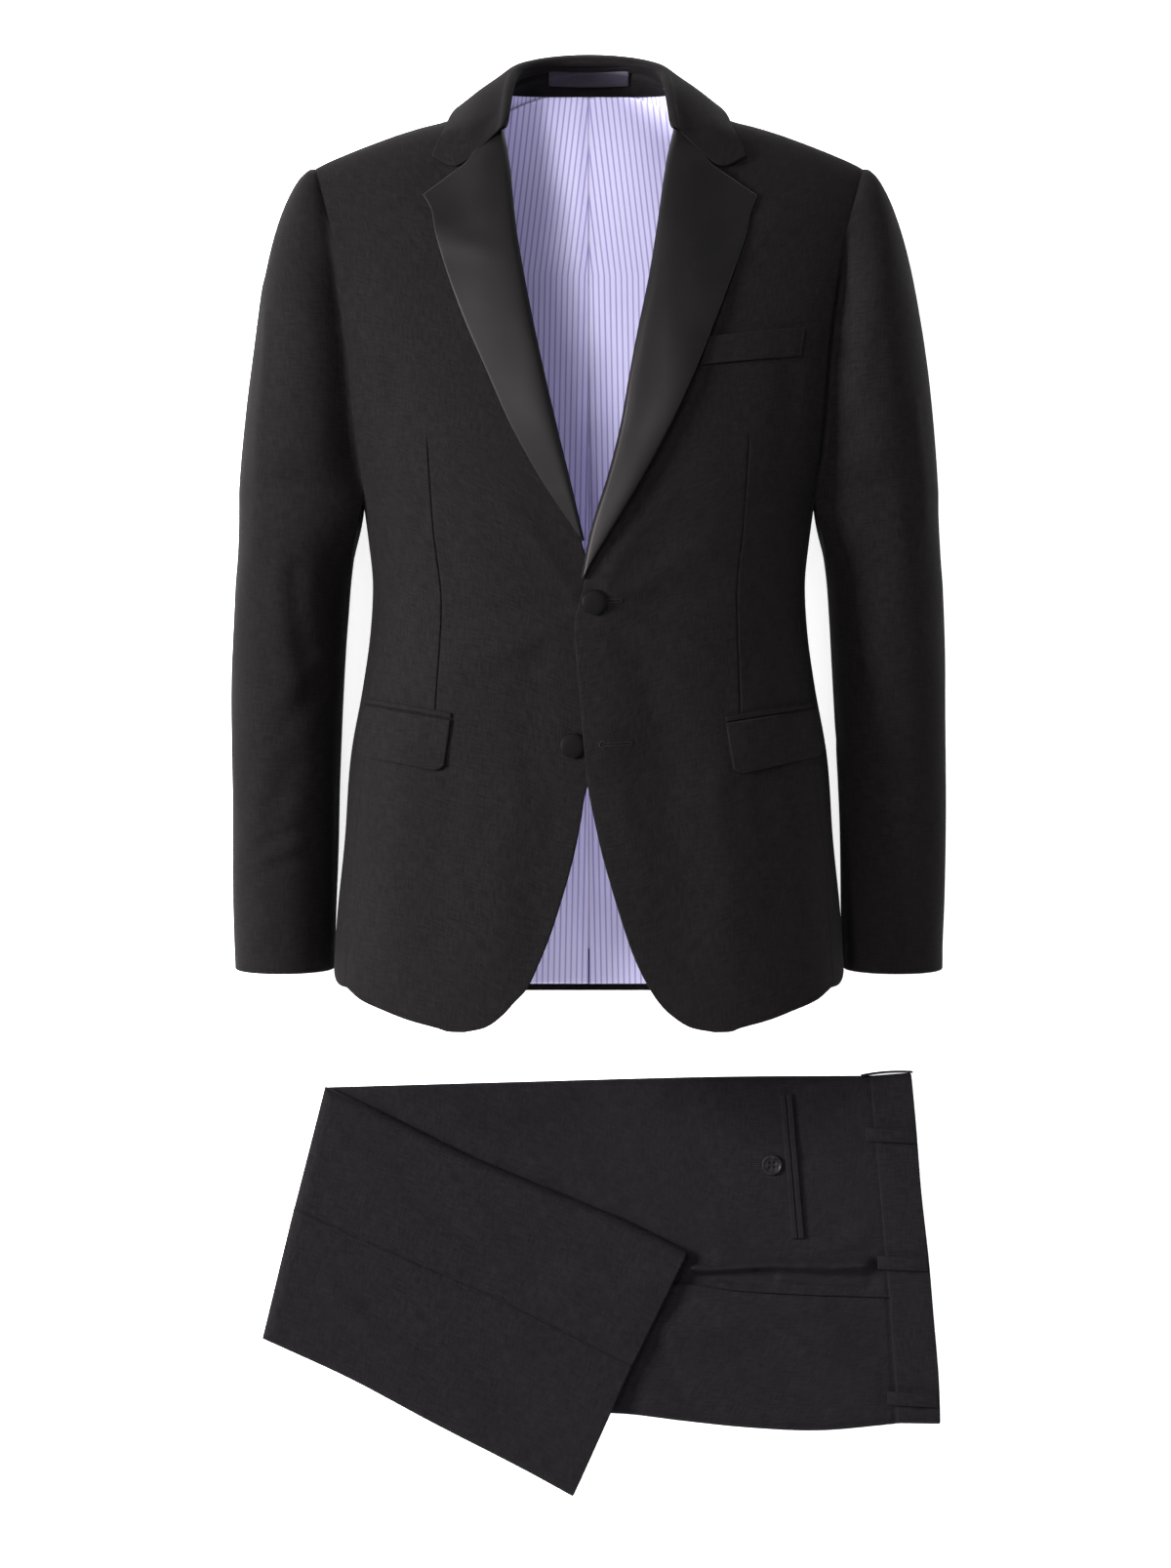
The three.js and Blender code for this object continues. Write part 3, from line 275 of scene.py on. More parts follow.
# Hip flaps and the breast welt: corners on each front, outer end first.
HIP_POCKET = {
    "left": {"outer": (178.1, 63.4), "inner": (108.6, 50.9), "low_outer": (184.9, 21.8),
             "low_inner": (114, 8.4)},
    "right": {"outer": (181.1, 60), "inner": (107.6, 48), "low_outer": (188.3, 22.8),
              "low_inner": (113.6, 5.4)},
}
BREAST_WELT = {"outer": (171.1, 362.4), "inner": (93.5, 352.8), "low_outer": (168.2, 339.2),
               "low_inner": (87, 329.9)}
# Buttonholes: the eye, the far end, and the eye's size.
FRONT_BUTTONHOLES = table("eyeX eyeY endX endY eye", [
    (7, 143.2, 24.9, 143.6, 2.2),
    (10.8, 29.9, 33.1, 31, 2.4),
])
POCKET_BUTTONHOLE = (143.8, -316, 132.6, -315.6, 1.5)
# Buttons, as shares of the radius and the height: up from the shank or the foot, round and inward.
COVERED_BUTTON_PROFILE = [(0.3, 0.22), (0.86, 0.28), (0.96, 0.36), (1, 0.5), (0.985, 0.62), (0.94, 0.74),
                          (0.86, 0.84), (0.7, 0.93), (0.5, 0.975), (0.25, 0.995), (0.02, 1)]
POCKET_BUTTON_PROFILE = [(0.9, 0), (0.985, 0.2), (1, 0.42), (0.985, 0.7), (0.95, 0.9), (0.9, 1), (0.84, 1),
                         (0.78, 0.9), (0.73, 0.78), (0.66, 0.69), (0.58, 0.66), (0.46, 0.64), (0.4, 0.64),
                         (0.34, 0.64), (0.28, 0.64), (0.22, 0.64), (0.16, 0.63), (0.09, 0.62)]

# Trousers: lines on the folded stack.
TOP_FOLD = table("x y", [
    (-217, -252), (-57, -247.5), (100, -243.4), (236, -242.4),
])
SEAT_LOWER_LINE = table("x y", [
    (-217, -258), (-151, -285.5), (-103, -309), (-57, -329.5), (-9, -349), (29.5, -365), (74, -388),
    (86, -402), (98, -414), (121, -420), (185, -423.6), (251, -426.2),
])
CENTRE_SEAM = table("x y", [
    (68, -411), (121, -420.6), (185, -424.2), (251, -426.8),
])
SEAT_BOTTOM = table("x y", [
    (13, -522), (38, -523.6), (80, -529), (121, -533.3), (172, -536.5), (203, -536),
    (258.5, -530.6),
])
WAIST_SEAM = table("y x", [
    (-531, 255.6), (-502, 254.8), (-463, 251.7), (-422, 249.1), (-381, 245.3), (-323, 240.4),
    (-284, 237), (-242, 233.6),
])
WAIST_EDGE = table("y x", [
    (-531, 291), (-492, 289.5), (-442, 285.4), (-395, 281.4), (-337, 275), (-285.5, 271),
    (-240, 266.8),
])
LEG_UPPER_EDGE = table("x y", [
    (-218, -251), (-189, -264), (-151, -282.5), (-103.5, -306), (-57, -326), (-9, -345.4),
    (29.5, -361.5), (82, -387.3),
])
LEG_OUTSEAM = table("x y", [
    (-243.4, -350.5), (-151, -392.5), (-80, -423.2), (-9, -458.7), (36, -481.3),
])
LEG_LOWER_EDGE = table("x y", [
    (-270, -459.4), (-198.6, -492.1), (-127.7, -529.9), (-56.8, -566.2), (-13.2, -590),
])
BELT_LOOPS = table("x y lean", [
    (249.5, -291.4, -0.5),
    (259.5, -397.3, -0.5),
    (267.6, -509.6, -0.6),
])
SEAT_OUTLINE = [(-192, -262), (-57, -254), (100, -249.5), (253, -248.5), (264, -285), (273, -395),
                (281, -519), (203, -527), (121, -524), (19, -514), (45, -447), (72, -398), (72, -390),
                (32, -370.5), (-57, -331)]
LEG_OUTLINE = [(-213.5, -261), (-57, -333), (73, -392), (46, -447), (-19, -574), (-130, -518),
               (-261, -454)]

# Soft folds: the ends of each, its height (below 0 for a trough) and its half width.
FOLD_COLUMNS = "x1 y1 x2 y2 height width"
FRONT_FOLDS = {
    "left": table(FOLD_COLUMNS, [
        (-14, 143, -96, 178, 1.3, 9),
        (-12, 152, -62, 214, 1.2, 8),
        (-14, 128, -104, 92, 1.2, 10),
        (-16, 136, -110, 134, -1.3, 9),
        (-40, 96, -52, 10, -0.9, 14),
        (-62, -6, -78, -186, 1.7, 17),
        (-112, -10, -126, -182, -1.6, 15),
        (-150, 0, -168, -170, 1.6, 15),
        (-156, 330, -164, 236, -1.4, 13),
        (-168, 300, -140, 176, 1.3, 12),
        (-132, 210, -170, 150, -1.1, 10),
        (-100, 430, -150, 460, 1.1, 16),
        (-30, -30, -48, -150, -0.9, 12),
    ]),
    "right": table(FOLD_COLUMNS, [
        (16, 146, 92, 184, 1.2, 9),
        (12, 158, 60, 226, 1.1, 8),
        (20, 130, 118, 104, 1.4, 10),
        (22, 138, 96, 150, -1.2, 9),
        (26, 112, 70, 40, -0.9, 13),
        (66, -2, 84, -188, -1.5, 16),
        (104, -4, 118, -184, 1.7, 15),
        (142, 4, 160, -172, -1.5, 14),
        (30, -20, 54, -150, 1.0, 12),
        (158, 322, 166, 240, -1.5, 13),
        (170, 296, 146, 172, 1.2, 12),
        (118, 424, 160, 448, 1.0, 16),
    ]),
}
SLEEVE_FOLDS = {
    "left": table(FOLD_COLUMNS, [
        (-263, -49, -228, -38, -1.9, 6),
        (-261, -60, -236, -49, 1.4, 5),
        (-260, -69, -230, -60, -1.4, 6),
        (-252, -12, -236, 14, -1.8, 11),
        (-216, 96, -248, 70, 1.4, 8),
        (-214, 78, -246, 48, -1.4, 8),
        (-212, 118, -240, 110, -1.0, 9),
        (-258, 372, -269, 188, 1.3, 5),
        (-236, 168, -224, 74, -2.2, 9),
        (-248, 172, -246, 90, 1.4, 8),
        (-230, 420, -236, 250, -1.2, 14),
        (-268, 6, -269, -124, 1.1, 10),
    ]),
    "right": table(FOLD_COLUMNS, [
        (234, -39, 265, -33, -1.8, 7),
        (237, -22, 265, -12, 1.5, 8),
        (210, 8, 234, 19, -1.4, 8),
        (214, -80, 215, -132, 1.1, 6),
        (214, 104, 250, 84, 1.3, 8),
        (212, 84, 246, 58, -1.4, 8),
        (262, 300, 270, 200, 1.2, 5),
        (232, 352, 221, 283, -1.5, 10),
        (250, 230, 246, 120, 1.0, 10),
        (272, 40, 276, -110, -0.9, 12),
    ]),
}
BACK_FOLDS = table(FOLD_COLUMNS, [
    (30, 420, 120, 470, 0.8, 14),
    (40, 330, 150, 300, -0.7, 16),
    (60, 60, 140, 90, 0.7, 14),
])
SEAT_FOLDS = table(FOLD_COLUMNS, [
    (86, -401, 232, -398, 5.2, 3.8),
    (74, -410, 150, -409, -6, 3.4),
    (140, -404, 236, -411, -2.6, 3),
    (110, -392, 236, -394, 2.5, 9),
    (60, -450, 200, -452, 2, 16),
    (84, -391, 236, -388, -1.7, 5),
    (120, -414, 238, -419, -1.2, 3),
    (96, -433, 190, -436, 1.6, 8),
    (150, -407, 226, -411, 1.4, 4),
    (20, -350, 110, -372, 1.2, 12),
    (-20, -330, 90, -352, -1.0, 10),
    (-110, -272, 60, -262, 0.9, 12),
    (180, -392, 236, -372, 1.1, 7),
    (60, -470, 90, -520, -1.1, 12),
    (176, -470, 240, -500, 1.0, 14),
])
LEG_FOLDS = table(FOLD_COLUMNS, [
    (-205, -300, 40, -418, 0.8, 10),
    (-150, -340, -40, -404, -0.7, 12),
    (-230, -372, -60, -452, 0.7, 14),
    (-180, -440, -50, -510, -0.8, 13),
    (-210, -420, -150, -470, 0.8, 11),
    (-30, -420, 30, -450, 0.8, 9),
    (-60, -380, 30, -404, -0.7, 9),
])


def mix(a, b, t):
    return a + (b - a) * t


def smooth(a, b, x):
    t = np.clip((np.asarray(x, float) - a) / (b - a), 0, 1)
    return t * t * (3 - 2 * t)


def bell(x, width):
    return np.exp(-(x / width) ** 2)


def curve(rows, source, target):
    """A smooth curve through a table's rows, from one column to another."""
    x, y = rows[source], rows[target]
    last = len(x) - 1
    before = np.maximum(np.arange(last + 1) - 1, 0)
    after = np.minimum(np.arange(last + 1) + 1, last)
    slope = (y[after] - y[before]) / (x[after] - x[before])

    def at(value):
        value = np.asarray(value, float)
        k = np.clip(np.searchsorted(x, value) - 1, 0, last - 1)
        width = x[k + 1] - x[k]
        t = np.clip((value - x[k]) / width, 0, 1)
        t2, t3 = t * t, t * t * t
        return ((2 * t3 - 3 * t2 + 1) * y[k] + (t3 - 2 * t2 + t) * width * slope[k]
                + (3 * t2 - 2 * t3) * y[k + 1] + (t3 - t2) * width * slope[k + 1])

    return at


def along_rows(rows, target):
    """The same, by the share of the rows passed."""
    return curve({"at": np.linspace(0, 1, len(rows[target])), target: rows[target]}, "at", target)


def through(points, t):
    """Places on a smooth line through points, with t from 0 to 1."""
    points = np.asarray(points, float)
    t = np.asarray(t, float)
    ends = np.concatenate([2 * points[:1] - points[1:2], points, 2 * points[-1:] - points[-2:-1]])
    at = t * (len(points) - 1)
    k = np.minimum(at.astype(int), len(points) - 2)
    w = (at - k).reshape((-1,) + (1,) * (points.ndim - 1))
    p0, p1, p2, p3 = (ends[k + i] for i in range(4))
    d0, d1, d2 = (np.sqrt(np.linalg.norm(b - a, axis=-1, keepdims=True)) + 1e-6
                  for a, b in ((p0, p1), (p1, p2), (p2, p3)))
    t1 = d1 * ((p1 - p0) / d0 - (p2 - p0) / (d0 + d1) + (p2 - p1) / d1)
    t2 = d1 * ((p2 - p1) / d1 - (p3 - p1) / (d1 + d2) + (p3 - p2) / d2)
    return p1 + w * (t1 + w * (3 * (p2 - p1) - 2 * t1 - t2 + w * (2 * (p1 - p2) + t1 + t2)))


def rounding(t, power):
    """Falls from 1 to 0, slowly at first and steeply at the end."""
    return (1 - np.clip(t, 0, 1) ** power) ** (1 / power)


def folds(x, y, rows):
    """Height of the soft folds of a table at a place. Each wavers along its length and dies out."""
    total = np.zeros(np.broadcast(x, y).shape)
    for x1, y1, x2, y2, height, width in zip(*rows.values()):
        dx, dy = x2 - x1, y2 - y1
        length = np.hypot(dx, dy)
        t = ((x - x1) * dx + (y - y1) * dy) / length ** 2
        off = ((x - x1) * dy - (y - y1) * dx) / length
        off = off + 0.22 * width * np.sin(t * length / 17 + x1)
        spread = width * (0.75 + 0.5 * np.clip(t, 0, 1))
        beyond = np.maximum(np.maximum(-t, t - 1), 0) * length
        total = total + height * np.exp(-(off / spread) ** 2 - (beyond / (1.4 * width)) ** 2)
    return total


def ripple(x, y, size, seed):
    """Gentle unevenness of cloth, from -1 to 1, with waves about size long."""
    a = x / size * RIPPLE_TURN
    b = y / size * RIPPLE_TURN
    return (np.sin(a * 0.91 + b * 0.37 + seed) + np.sin(b * 0.73 - a * 0.29 + 2.1 * seed)
            + 0.6 * np.sin(a * 1.7 + 1.9 * np.sin(b * 0.6) + seed)) / 2.6


body_half = curve(BODY, "y", "half")
body_mid = curve(BODY, "y", "mid")
body_top = curve(BODY, "y", "top")
shoulder_y = curve(SHOULDER, "x", "y")
front_seam_x = curve(FRONT_SEAM, "y", "x")
back_armhole_x = curve(BACK_ARMHOLE, "y", "x")
front_hem_y = curve(FRONT_HEM, "share", "y")
inner_edge_x = {side: curve(rows, "y", "x") for side, rows in INNER_EDGE.items()}


def sign_of(side):
    return -1 if side == "left" else 1


def front_height(x, y):
    """Height of the jacket's front over a place."""
    mid = body_mid(y)
    opened = mid + (body_top(y) - mid) * rounding(np.abs(x) / body_half(y), FRONT_FULLNESS)
    up = np.clip((y - ARMPIT_Y) / (shoulder_y(np.abs(x)) - ARMPIT_Y), 0, 1)
    return np.where(y <= ARMPIT_Y, opened,
                    SHOULDER_Z + (opened - SHOULDER_Z) * rounding(up, SHOULDER_ROUNDING))


def back_top_y(x):
    share = np.clip(np.abs(x) / NECK_POINT_X, 0, 1)
    neck = mix(NAPE_Y, shoulder_y(NECK_POINT_X), share ** 2.2)
    return np.where(np.abs(x) < NECK_POINT_X, neck, shoulder_y(np.abs(x)))


def back_top_z(x):
    return mix(NAPE_Z, SHOULDER_Z, np.clip(np.abs(x) / NECK_POINT_X, 0, 1) ** 2)


def back_height(x, y):
    """Height of the jacket's back over a place: flat on the ground along its middle."""
    opened = body_mid(y) * (1 - rounding(np.abs(x) / body_half(y), BACK_FULLNESS)) - BACK_FLATTENING
    flat = np.maximum(opened, 0)
    up = (y - ARMPIT_Y) / (back_top_y(x) - ARMPIT_Y)
    return np.where(y <= ARMPIT_Y, flat, mix(back_top_z(x), flat, rounding(up, SHOULDER_ROUNDING)))


def overlap_lift(side, x, y):
    """The overlapping front rides over the other one, and over the button that is left undone."""
    if side == "left":
        return np.zeros(np.shape(x))
    over_button = UNDONE_BUTTON_LIFT * bell(y - LOWER_BUTTON[1], 24)
    return (FRONT_OVERLAP_LIFT + over_button) * (1 - smooth(8, 60, x))


def front_relief(side, x, y):
    """Folds and ripples of a front. They die out towards its side seam, armhole and shoulder."""
    world_x = sign_of(side) * x
    relief = mix(0.8, 1.3, smooth(-60, 60, y)) * folds(world_x, y, FRONT_FOLDS[side])
    relief = relief + 0.6 * ripple(world_x, y, 150, 1.3)
    from_seam = smooth(2, 26, front_seam_x(y) - x) * smooth(-200, -110, y)
    from_shoulder = smooth(4, 40, shoulder_y(np.abs(x)) - y)
    return relief * from_seam * from_shoulder


def on_front(side, x, y):
    """A place on a front, with x counted outward from the centre."""
    z = front_height(x, y) + overlap_lift(side, x, y) + front_relief(side, x, y)
    return np.stack(np.broadcast_arrays(sign_of(side) * x, y, z), axis=-1)


def crowded(length, step, at=()):
    """Shares from 0 to 1 about step apart, closer at both ends, where cloth turns in, and at seams."""
    even = np.linspace(0, 1, max(int(round(length / step)), 2) + 1)
    close = np.array([0.4, 0.9, 1.6]) / length
    shares = [even, close, 1 - close]
    beside = np.array([-2.4, -1.6, -1, -0.6, -0.3, 0, 0.3, 0.6, 1, 1.6, 2.4])
    for centre in at:
        shares.append(centre + beside / length)
    shares = np.unique(np.clip(np.concatenate(shares), 0, 1))
    keep = np.concatenate([[True], np.diff(shares) > 0.12 / length])
    keep[-1] = True
    return shares[keep]


def unit_normals(grid):
    """Unit normals of a grid of points."""
    normal = np.cross(np.gradient(grid, axis=1), np.gradient(grid, axis=0))
    length = np.linalg.norm(normal, axis=2, keepdims=True)
    return normal / np.maximum(length, 1e-9)


def from_edges(grid, edges):
    """Distance of each point from the grid's named edges, along its rows and columns."""
    across = np.linalg.norm(np.diff(grid, axis=1), axis=2)
    along = np.linalg.norm(np.diff(grid, axis=0), axis=2)
    across = np.pad(np.cumsum(across, axis=1), ((0, 0), (1, 0)))
    along = np.pad(np.cumsum(along, axis=0), ((1, 0), (0, 0)))
    found = {
        "start": across,
        "end": across[:, -1:] - across,
        "foot": along,
        "head": along[-1:] - along,
    }
    return np.min([found[name] for name in edges], axis=0), across, along


def make_mesh(name, points, faces, materials, face_materials=None, cloth_map=None):
    """An object in metres from points in millimetres. cloth_map holds places on the flat cloth."""
    mesh = bpy.data.meshes.new(name)
    mesh.from_pydata((np.asarray(points) * MM).tolist(), [], faces)
    for material in materials:
        mesh.materials.append(material)
    if face_materials is not None:
        mesh.polygons.foreach_set("material_index", np.asarray(face_materials, np.int32))
    if cloth_map is not None:
        corners = np.zeros(len(mesh.loops), np.int32)
        mesh.loops.foreach_get("vertex_index", corners)
        layer = mesh.uv_layers.new(name="cloth")
        layer.data.foreach_set("uv", (np.asarray(cloth_map)[corners] * MM).astype(np.float32).ravel())
    mesh.polygons.foreach_set("use_smooth", np.ones(len(mesh.polygons), bool))
    mesh.update()
    piece = bpy.data.objects.new(name, mesh)
    bpy.context.scene.collection.objects.link(piece)
    return piece


def cloth(name, grid, outward, thickness, materials, near=0.0, inner=None, cloth_map=None,
          turned=("start", "end", "foot", "head"), turn=EDGE_TURN):
    """A thin shell from a grid of points on its outer face, turned in along its edges. The rows of the
    grid run up the cloth. inner marks the points whose inner face has the second material."""
    normal = unit_normals(grid) * outward
    distance, across, along = from_edges(grid, turned)
    bend = 1 - np.sqrt(np.clip(1 - (1 - np.clip(distance / turn, 0, 1)) ** 2, 0, 1))
    sink = EDGE_SINK * thickness * bend[..., None]
    outer_face = grid + normal * (near - sink)
    inner_face = grid + normal * (near - thickness + sink)
    rows, columns = grid.shape[:2]
    points = np.concatenate([outer_face.reshape(-1, 3), inner_face.reshape(-1, 3)])
    index = np.arange(rows * columns).reshape(rows, columns)
    a, b, c, d = (index[:-1, :-1], index[:-1, 1:], index[1:, 1:], index[1:, :-1])
    quads = np.stack([a, b, c, d], axis=-1).reshape(-1, 4)
    below = quads[:, ::-1] + rows * columns
    ring = np.concatenate([index[0, :-1], index[:-1, -1], index[-1, :0:-1], index[:0:-1, 0]])
    beyond = np.roll(ring, -1)
    rim = np.stack([ring, ring + rows * columns, beyond + rows * columns, beyond], axis=-1)
    faces = np.concatenate([quads, below, rim])
    if outward < 0:
        faces = faces[:, ::-1]
    lined = np.full(len(quads), int(len(materials) > 1))
    if inner is not None:
        lined = inner[:-1, :-1].reshape(-1).astype(int)
    which = np.concatenate([np.zeros(len(quads), int), lined, np.zeros(len(rim), int)])
    if cloth_map is None:
        cloth_map = np.stack([across, along], axis=-1)
    both = np.tile(cloth_map.reshape(-1, 2), (2, 1))
    return make_mesh(name, points, faces.tolist(), materials, which, both)


# Materials


class Shading:
    """A node tree that is written as a list of steps."""

    def __init__(self, tree):
        self.tree = tree

    def node(self, kind, settings=None, **inputs):
        """A node with its settings and its inputs, each a value or another node's output."""
        made = self.tree.nodes.new(kind)
        for key, value in (settings or {}).items():
            setattr(made, key, value)
        for key, value in inputs.items():
            socket = made.inputs[int(key[1:])] if key[0] == "n" and key[1:].isdigit() else \
                made.inputs[key.replace("_", " ")]
            self.put(socket, value)
        return made

    def put(self, socket, value):
        if isinstance(value, bpy.types.NodeSocket):
            self.tree.links.new(value, socket)
        else:
            socket.default_value = value

    def math(self, operation, a, b=0.0, c=0.0):
        return self.node("ShaderNodeMath", {"operation": operation}, n0=a, n1=b, n2=c).outputs[0]

    def fill(self, sockets, **values):
        """Sets sockets by name, with an underscore for each space."""
        for key, value in values.items():
            self.put(sockets[key.replace("_", " ")], value)

    def blend(self, amount, a, b):
        """One colour over another."""
        made = self.tree.nodes.new("ShaderNodeMix")
        made.data_type = "RGBA"
        for socket, value in ((0, amount), (6, a), (7, b)):
            self.put(made.inputs[socket], value)
        return made.outputs[2]

    def between(self, value, low, high, to_low=0.0, to_high=1.0):
        made = self.node("ShaderNodeMapRange", {"interpolation_type": "SMOOTHSTEP"}, Value=value,
                         From_Min=low, From_Max=high, To_Min=to_low, To_Max=to_high)
        return made.outputs[0]


def new_group(name, inputs, outputs):
    """A node group with named inputs, as (name, kind, value), and named outputs, as (name, kind)."""
    tree = bpy.data.node_groups.new(name, "ShaderNodeTree")
    for label, kind, value in inputs:
        socket = tree.interface.new_socket(label, in_out="INPUT", socket_type="NodeSocket" + kind)
        if value is not None:
            socket.default_value = value
    for label, kind in outputs:
        tree.interface.new_socket(label, in_out="OUTPUT", socket_type="NodeSocket" + kind)
    shading = Shading(tree)
    return shading, tree.nodes.new("NodeGroupInput").outputs, tree.nodes.new("NodeGroupOutput").inputs


def weave_group():
    """Threads crossing at a slant: how high each stands, and how light its yarn is."""
    s, given, result = new_group(
        "weave",
        [("Cloth Place", "Vector", None), ("Threads", "Float", 1800.0), ("Slant", "Float", 1.0),
         ("Yarn Unevenness", "Float", 0.5)],
        [("Height", "Float"), ("Yarn", "Float")],
    )
    place = s.node("ShaderNodeSeparateXYZ", Vector=given["Cloth Place"]).outputs
    turns = s.math("MULTIPLY", given["Threads"], FULL_TURN)
    slanted = s.math("ADD", place["X"], s.math("MULTIPLY", place["Y"], given["Slant"]))
    rib = s.math("SINE", s.math("MULTIPLY", slanted, turns))
    cross = s.math("SINE", s.math("MULTIPLY", place["Y"], turns))
    s.put(result["Height"], s.math("ADD", s.math("MULTIPLY", rib, 0.32),
                                   s.math("MULTIPLY_ADD", cross, 0.18, 0.5)))
    streaks = []
    for stretch in ((1.0, 0.09, 1.0), (0.09, 1.0, 1.0)):
        drawn = s.node("ShaderNodeVectorMath", {"operation": "MULTIPLY"}, n0=given["Cloth Place"],
                       n1=stretch).outputs[0]
        noise = s.node("ShaderNodeTexNoise", Vector=drawn, Scale=900.0, Detail=3.0, Roughness=0.6)
        streaks.append(noise.outputs[0])
    yarn = s.math("SUBTRACT", s.math("ADD", streaks[0], streaks[1]), 1.0)
    s.put(result["Yarn"], s.math("MULTIPLY_ADD", yarn, given["Yarn Unevenness"], 0.5))
    return s.tree


def handling_group():
    """Large soft patches from pressing and handling, and the fine fuzz of the surface."""
    s, given, result = new_group(
        "handling",
        [("Place", "Vector", None), ("Patch Size", "Float", 0.12), ("Fuzz Size", "Float", 0.0012)],
        [("Patches", "Float"), ("Fuzz", "Float")],
    )
    patches = s.node("ShaderNodeTexNoise", Vector=given["Place"], Detail=2.0,
                     Scale=s.math("DIVIDE", 1.0, given["Patch Size"]))
    s.put(result["Patches"], s.between(patches.outputs[0], 0.3, 0.7))
    fuzz = s.node("ShaderNodeTexNoise", Vector=given["Place"], Detail=2.0, Roughness=0.7,
                  Scale=s.math("DIVIDE", 1.0, given["Fuzz Size"]))
    s.put(result["Fuzz"], fuzz.outputs[0])
    return s.tree


WEAVE = weave_group()
HANDLING = handling_group()


def new_material(name):
    material = bpy.data.materials.new(name)
    material.use_nodes = True
    tree = material.node_tree
    tree.nodes.clear()
    s = Shading(tree)
    surface = s.node("ShaderNodeBsdfPrincipled")
    output = s.node("ShaderNodeOutputMaterial")
    tree.links.new(surface.outputs[0], output.inputs["Surface"])
    return material, s, surface.inputs


def cloth_places(s):
    """Places on the flat cloth and in the room."""
    return (s.node("ShaderNodeUVMap", {"uv_map": "cloth"}).outputs[0],
            s.node("ShaderNodeTexCoord").outputs["Object"])


def use(s, group, **values):
    made = s.tree.nodes.new("ShaderNodeGroup")
    made.node_tree = group
    s.fill(made.inputs, **values)
    return made.outputs


def raise_surface(s, surface, strength, distance, height):
    bump = s.node("ShaderNodeBump", Strength=strength, Distance=distance, Height=height)
    s.put(surface["Normal"], bump.outputs[0])


def grey(value, tint=(1.0, 1.0, 1.0)):
    return tuple(value * t for t in tint) + (1.0,)


def wool_material(name, depth, tint=(1.1, 0.96, 1.0)):
    """Fine worsted: near black, with a little fuzz that catches light along its edges."""
    material, s, surface = new_material(name)
    flat, room = cloth_places(s)
    weave = use(s, WEAVE, Cloth_Place=flat, Threads=1500.0, Slant=1.0, Yarn_Unevenness=1.1)
    handling = use(s, HANDLING, Place=room, Patch_Size=0.16)
    yarn = s.between(weave["Yarn"], 0.25, 0.75)
    base = s.blend(yarn, grey(depth * 0.72, tint), grey(depth * 1.32, tint))
    base = s.blend(s.math("MULTIPLY", handling["Patches"], 0.18), base, grey(depth * 1.5, tint))
    s.fill(surface, Base_Color=base, Roughness=s.between(handling["Patches"], 0.0, 1.0, 0.72, 0.86),
           Specular_IOR_Level=0.02, Sheen_Weight=0.012, Sheen_Roughness=0.35,
           Sheen_Tint=(0.9, 0.86, 0.9, 1.0))
    raised = s.math("MULTIPLY_ADD", handling["Fuzz"], 0.6, weave["Height"])
    raise_surface(s, surface, 0.35, 0.00022, raised)
    return material


def satin_material(name, depth, roughness, tint=(1.04, 0.97, 1.0), gleam=0.1):
    """Silk-faced satin: smooth floats of thread with a broad gleam."""
    material, s, surface = new_material(name)
    flat, room = cloth_places(s)
    weave = use(s, WEAVE, Cloth_Place=flat, Threads=3200.0, Slant=0.2, Yarn_Unevenness=0.8)
    handling = use(s, HANDLING, Place=room, Patch_Size=0.05)
    base = s.blend(weave["Yarn"], grey(depth * 0.85, tint), grey(depth * 1.2, tint))
    rough = s.between(handling["Patches"], 0.0, 1.0, roughness - 0.03, roughness + 0.04)
    s.fill(surface, Base_Color=base, Roughness=s.math("MULTIPLY_ADD", weave["Yarn"], 0.05, rough),
           Specular_IOR_Level=gleam, Specular_Tint=(1.0, 0.9, 0.95, 1.0), Sheen_Weight=0.02,
           Sheen_Roughness=0.3)
    raise_surface(s, surface, 0.08, 0.00008, s.math("ADD", weave["Height"], weave["Yarn"]))
    return material


def lining_material():
    """Pale viscose lining with thin blue-violet stripes."""
    material, s, surface = new_material("striped lining")
    flat, room = cloth_places(s)
    weave = use(s, WEAVE, Cloth_Place=flat, Threads=2600.0, Slant=0.0, Yarn_Unevenness=0.6)
    handling = use(s, HANDLING, Place=room, Patch_Size=0.08)
    place = s.node("ShaderNodeSeparateXYZ", Vector=flat).outputs
    phase = s.math("FRACT", s.math("DIVIDE", place["X"], STRIPE_PERIOD * MM))
    from_line = s.math("ABSOLUTE", s.math("SUBTRACT", phase, 0.5))
    line = s.between(from_line, 0.1, 0.2, 1.0, 0.0)
    ground = s.blend(handling["Patches"], (0.63, 0.60, 0.83, 1.0), (0.69, 0.655, 0.89, 1.0))
    striped = s.blend(s.math("MULTIPLY", line, 0.72), ground, (0.19, 0.175, 0.48, 1.0))
    base = s.blend(s.math("MULTIPLY", weave["Yarn"], 0.12), striped, (0.4, 0.38, 0.52, 1.0))
    s.fill(surface, Base_Color=base, Roughness=s.between(handling["Patches"], 0.0, 1.0, 0.44, 0.54),
           Specular_IOR_Level=0.4, Sheen_Weight=0.15)
    raise_surface(s, surface, 0.2, 0.0001, weave["Height"])
    return material


def button_material():
    """Dark polished resin with a faint cloudy grain."""
    material, s, surface = new_material("button resin")
    room = s.node("ShaderNodeTexCoord").outputs["Object"]
    handling = use(s, HANDLING, Place=room, Patch_Size=0.006, Fuzz_Size=0.0006)
    base = s.blend(handling["Patches"], (0.003, 0.0027, 0.0035, 1.0), (0.010, 0.009, 0.011, 1.0))
    s.fill(surface, Base_Color=base, Roughness=s.between(handling["Fuzz"], 0.2, 0.8, 0.26, 0.38),
           Specular_IOR_Level=0.05)
    raise_surface(s, surface, 0.12, 0.0001, handling["Fuzz"])
    return material


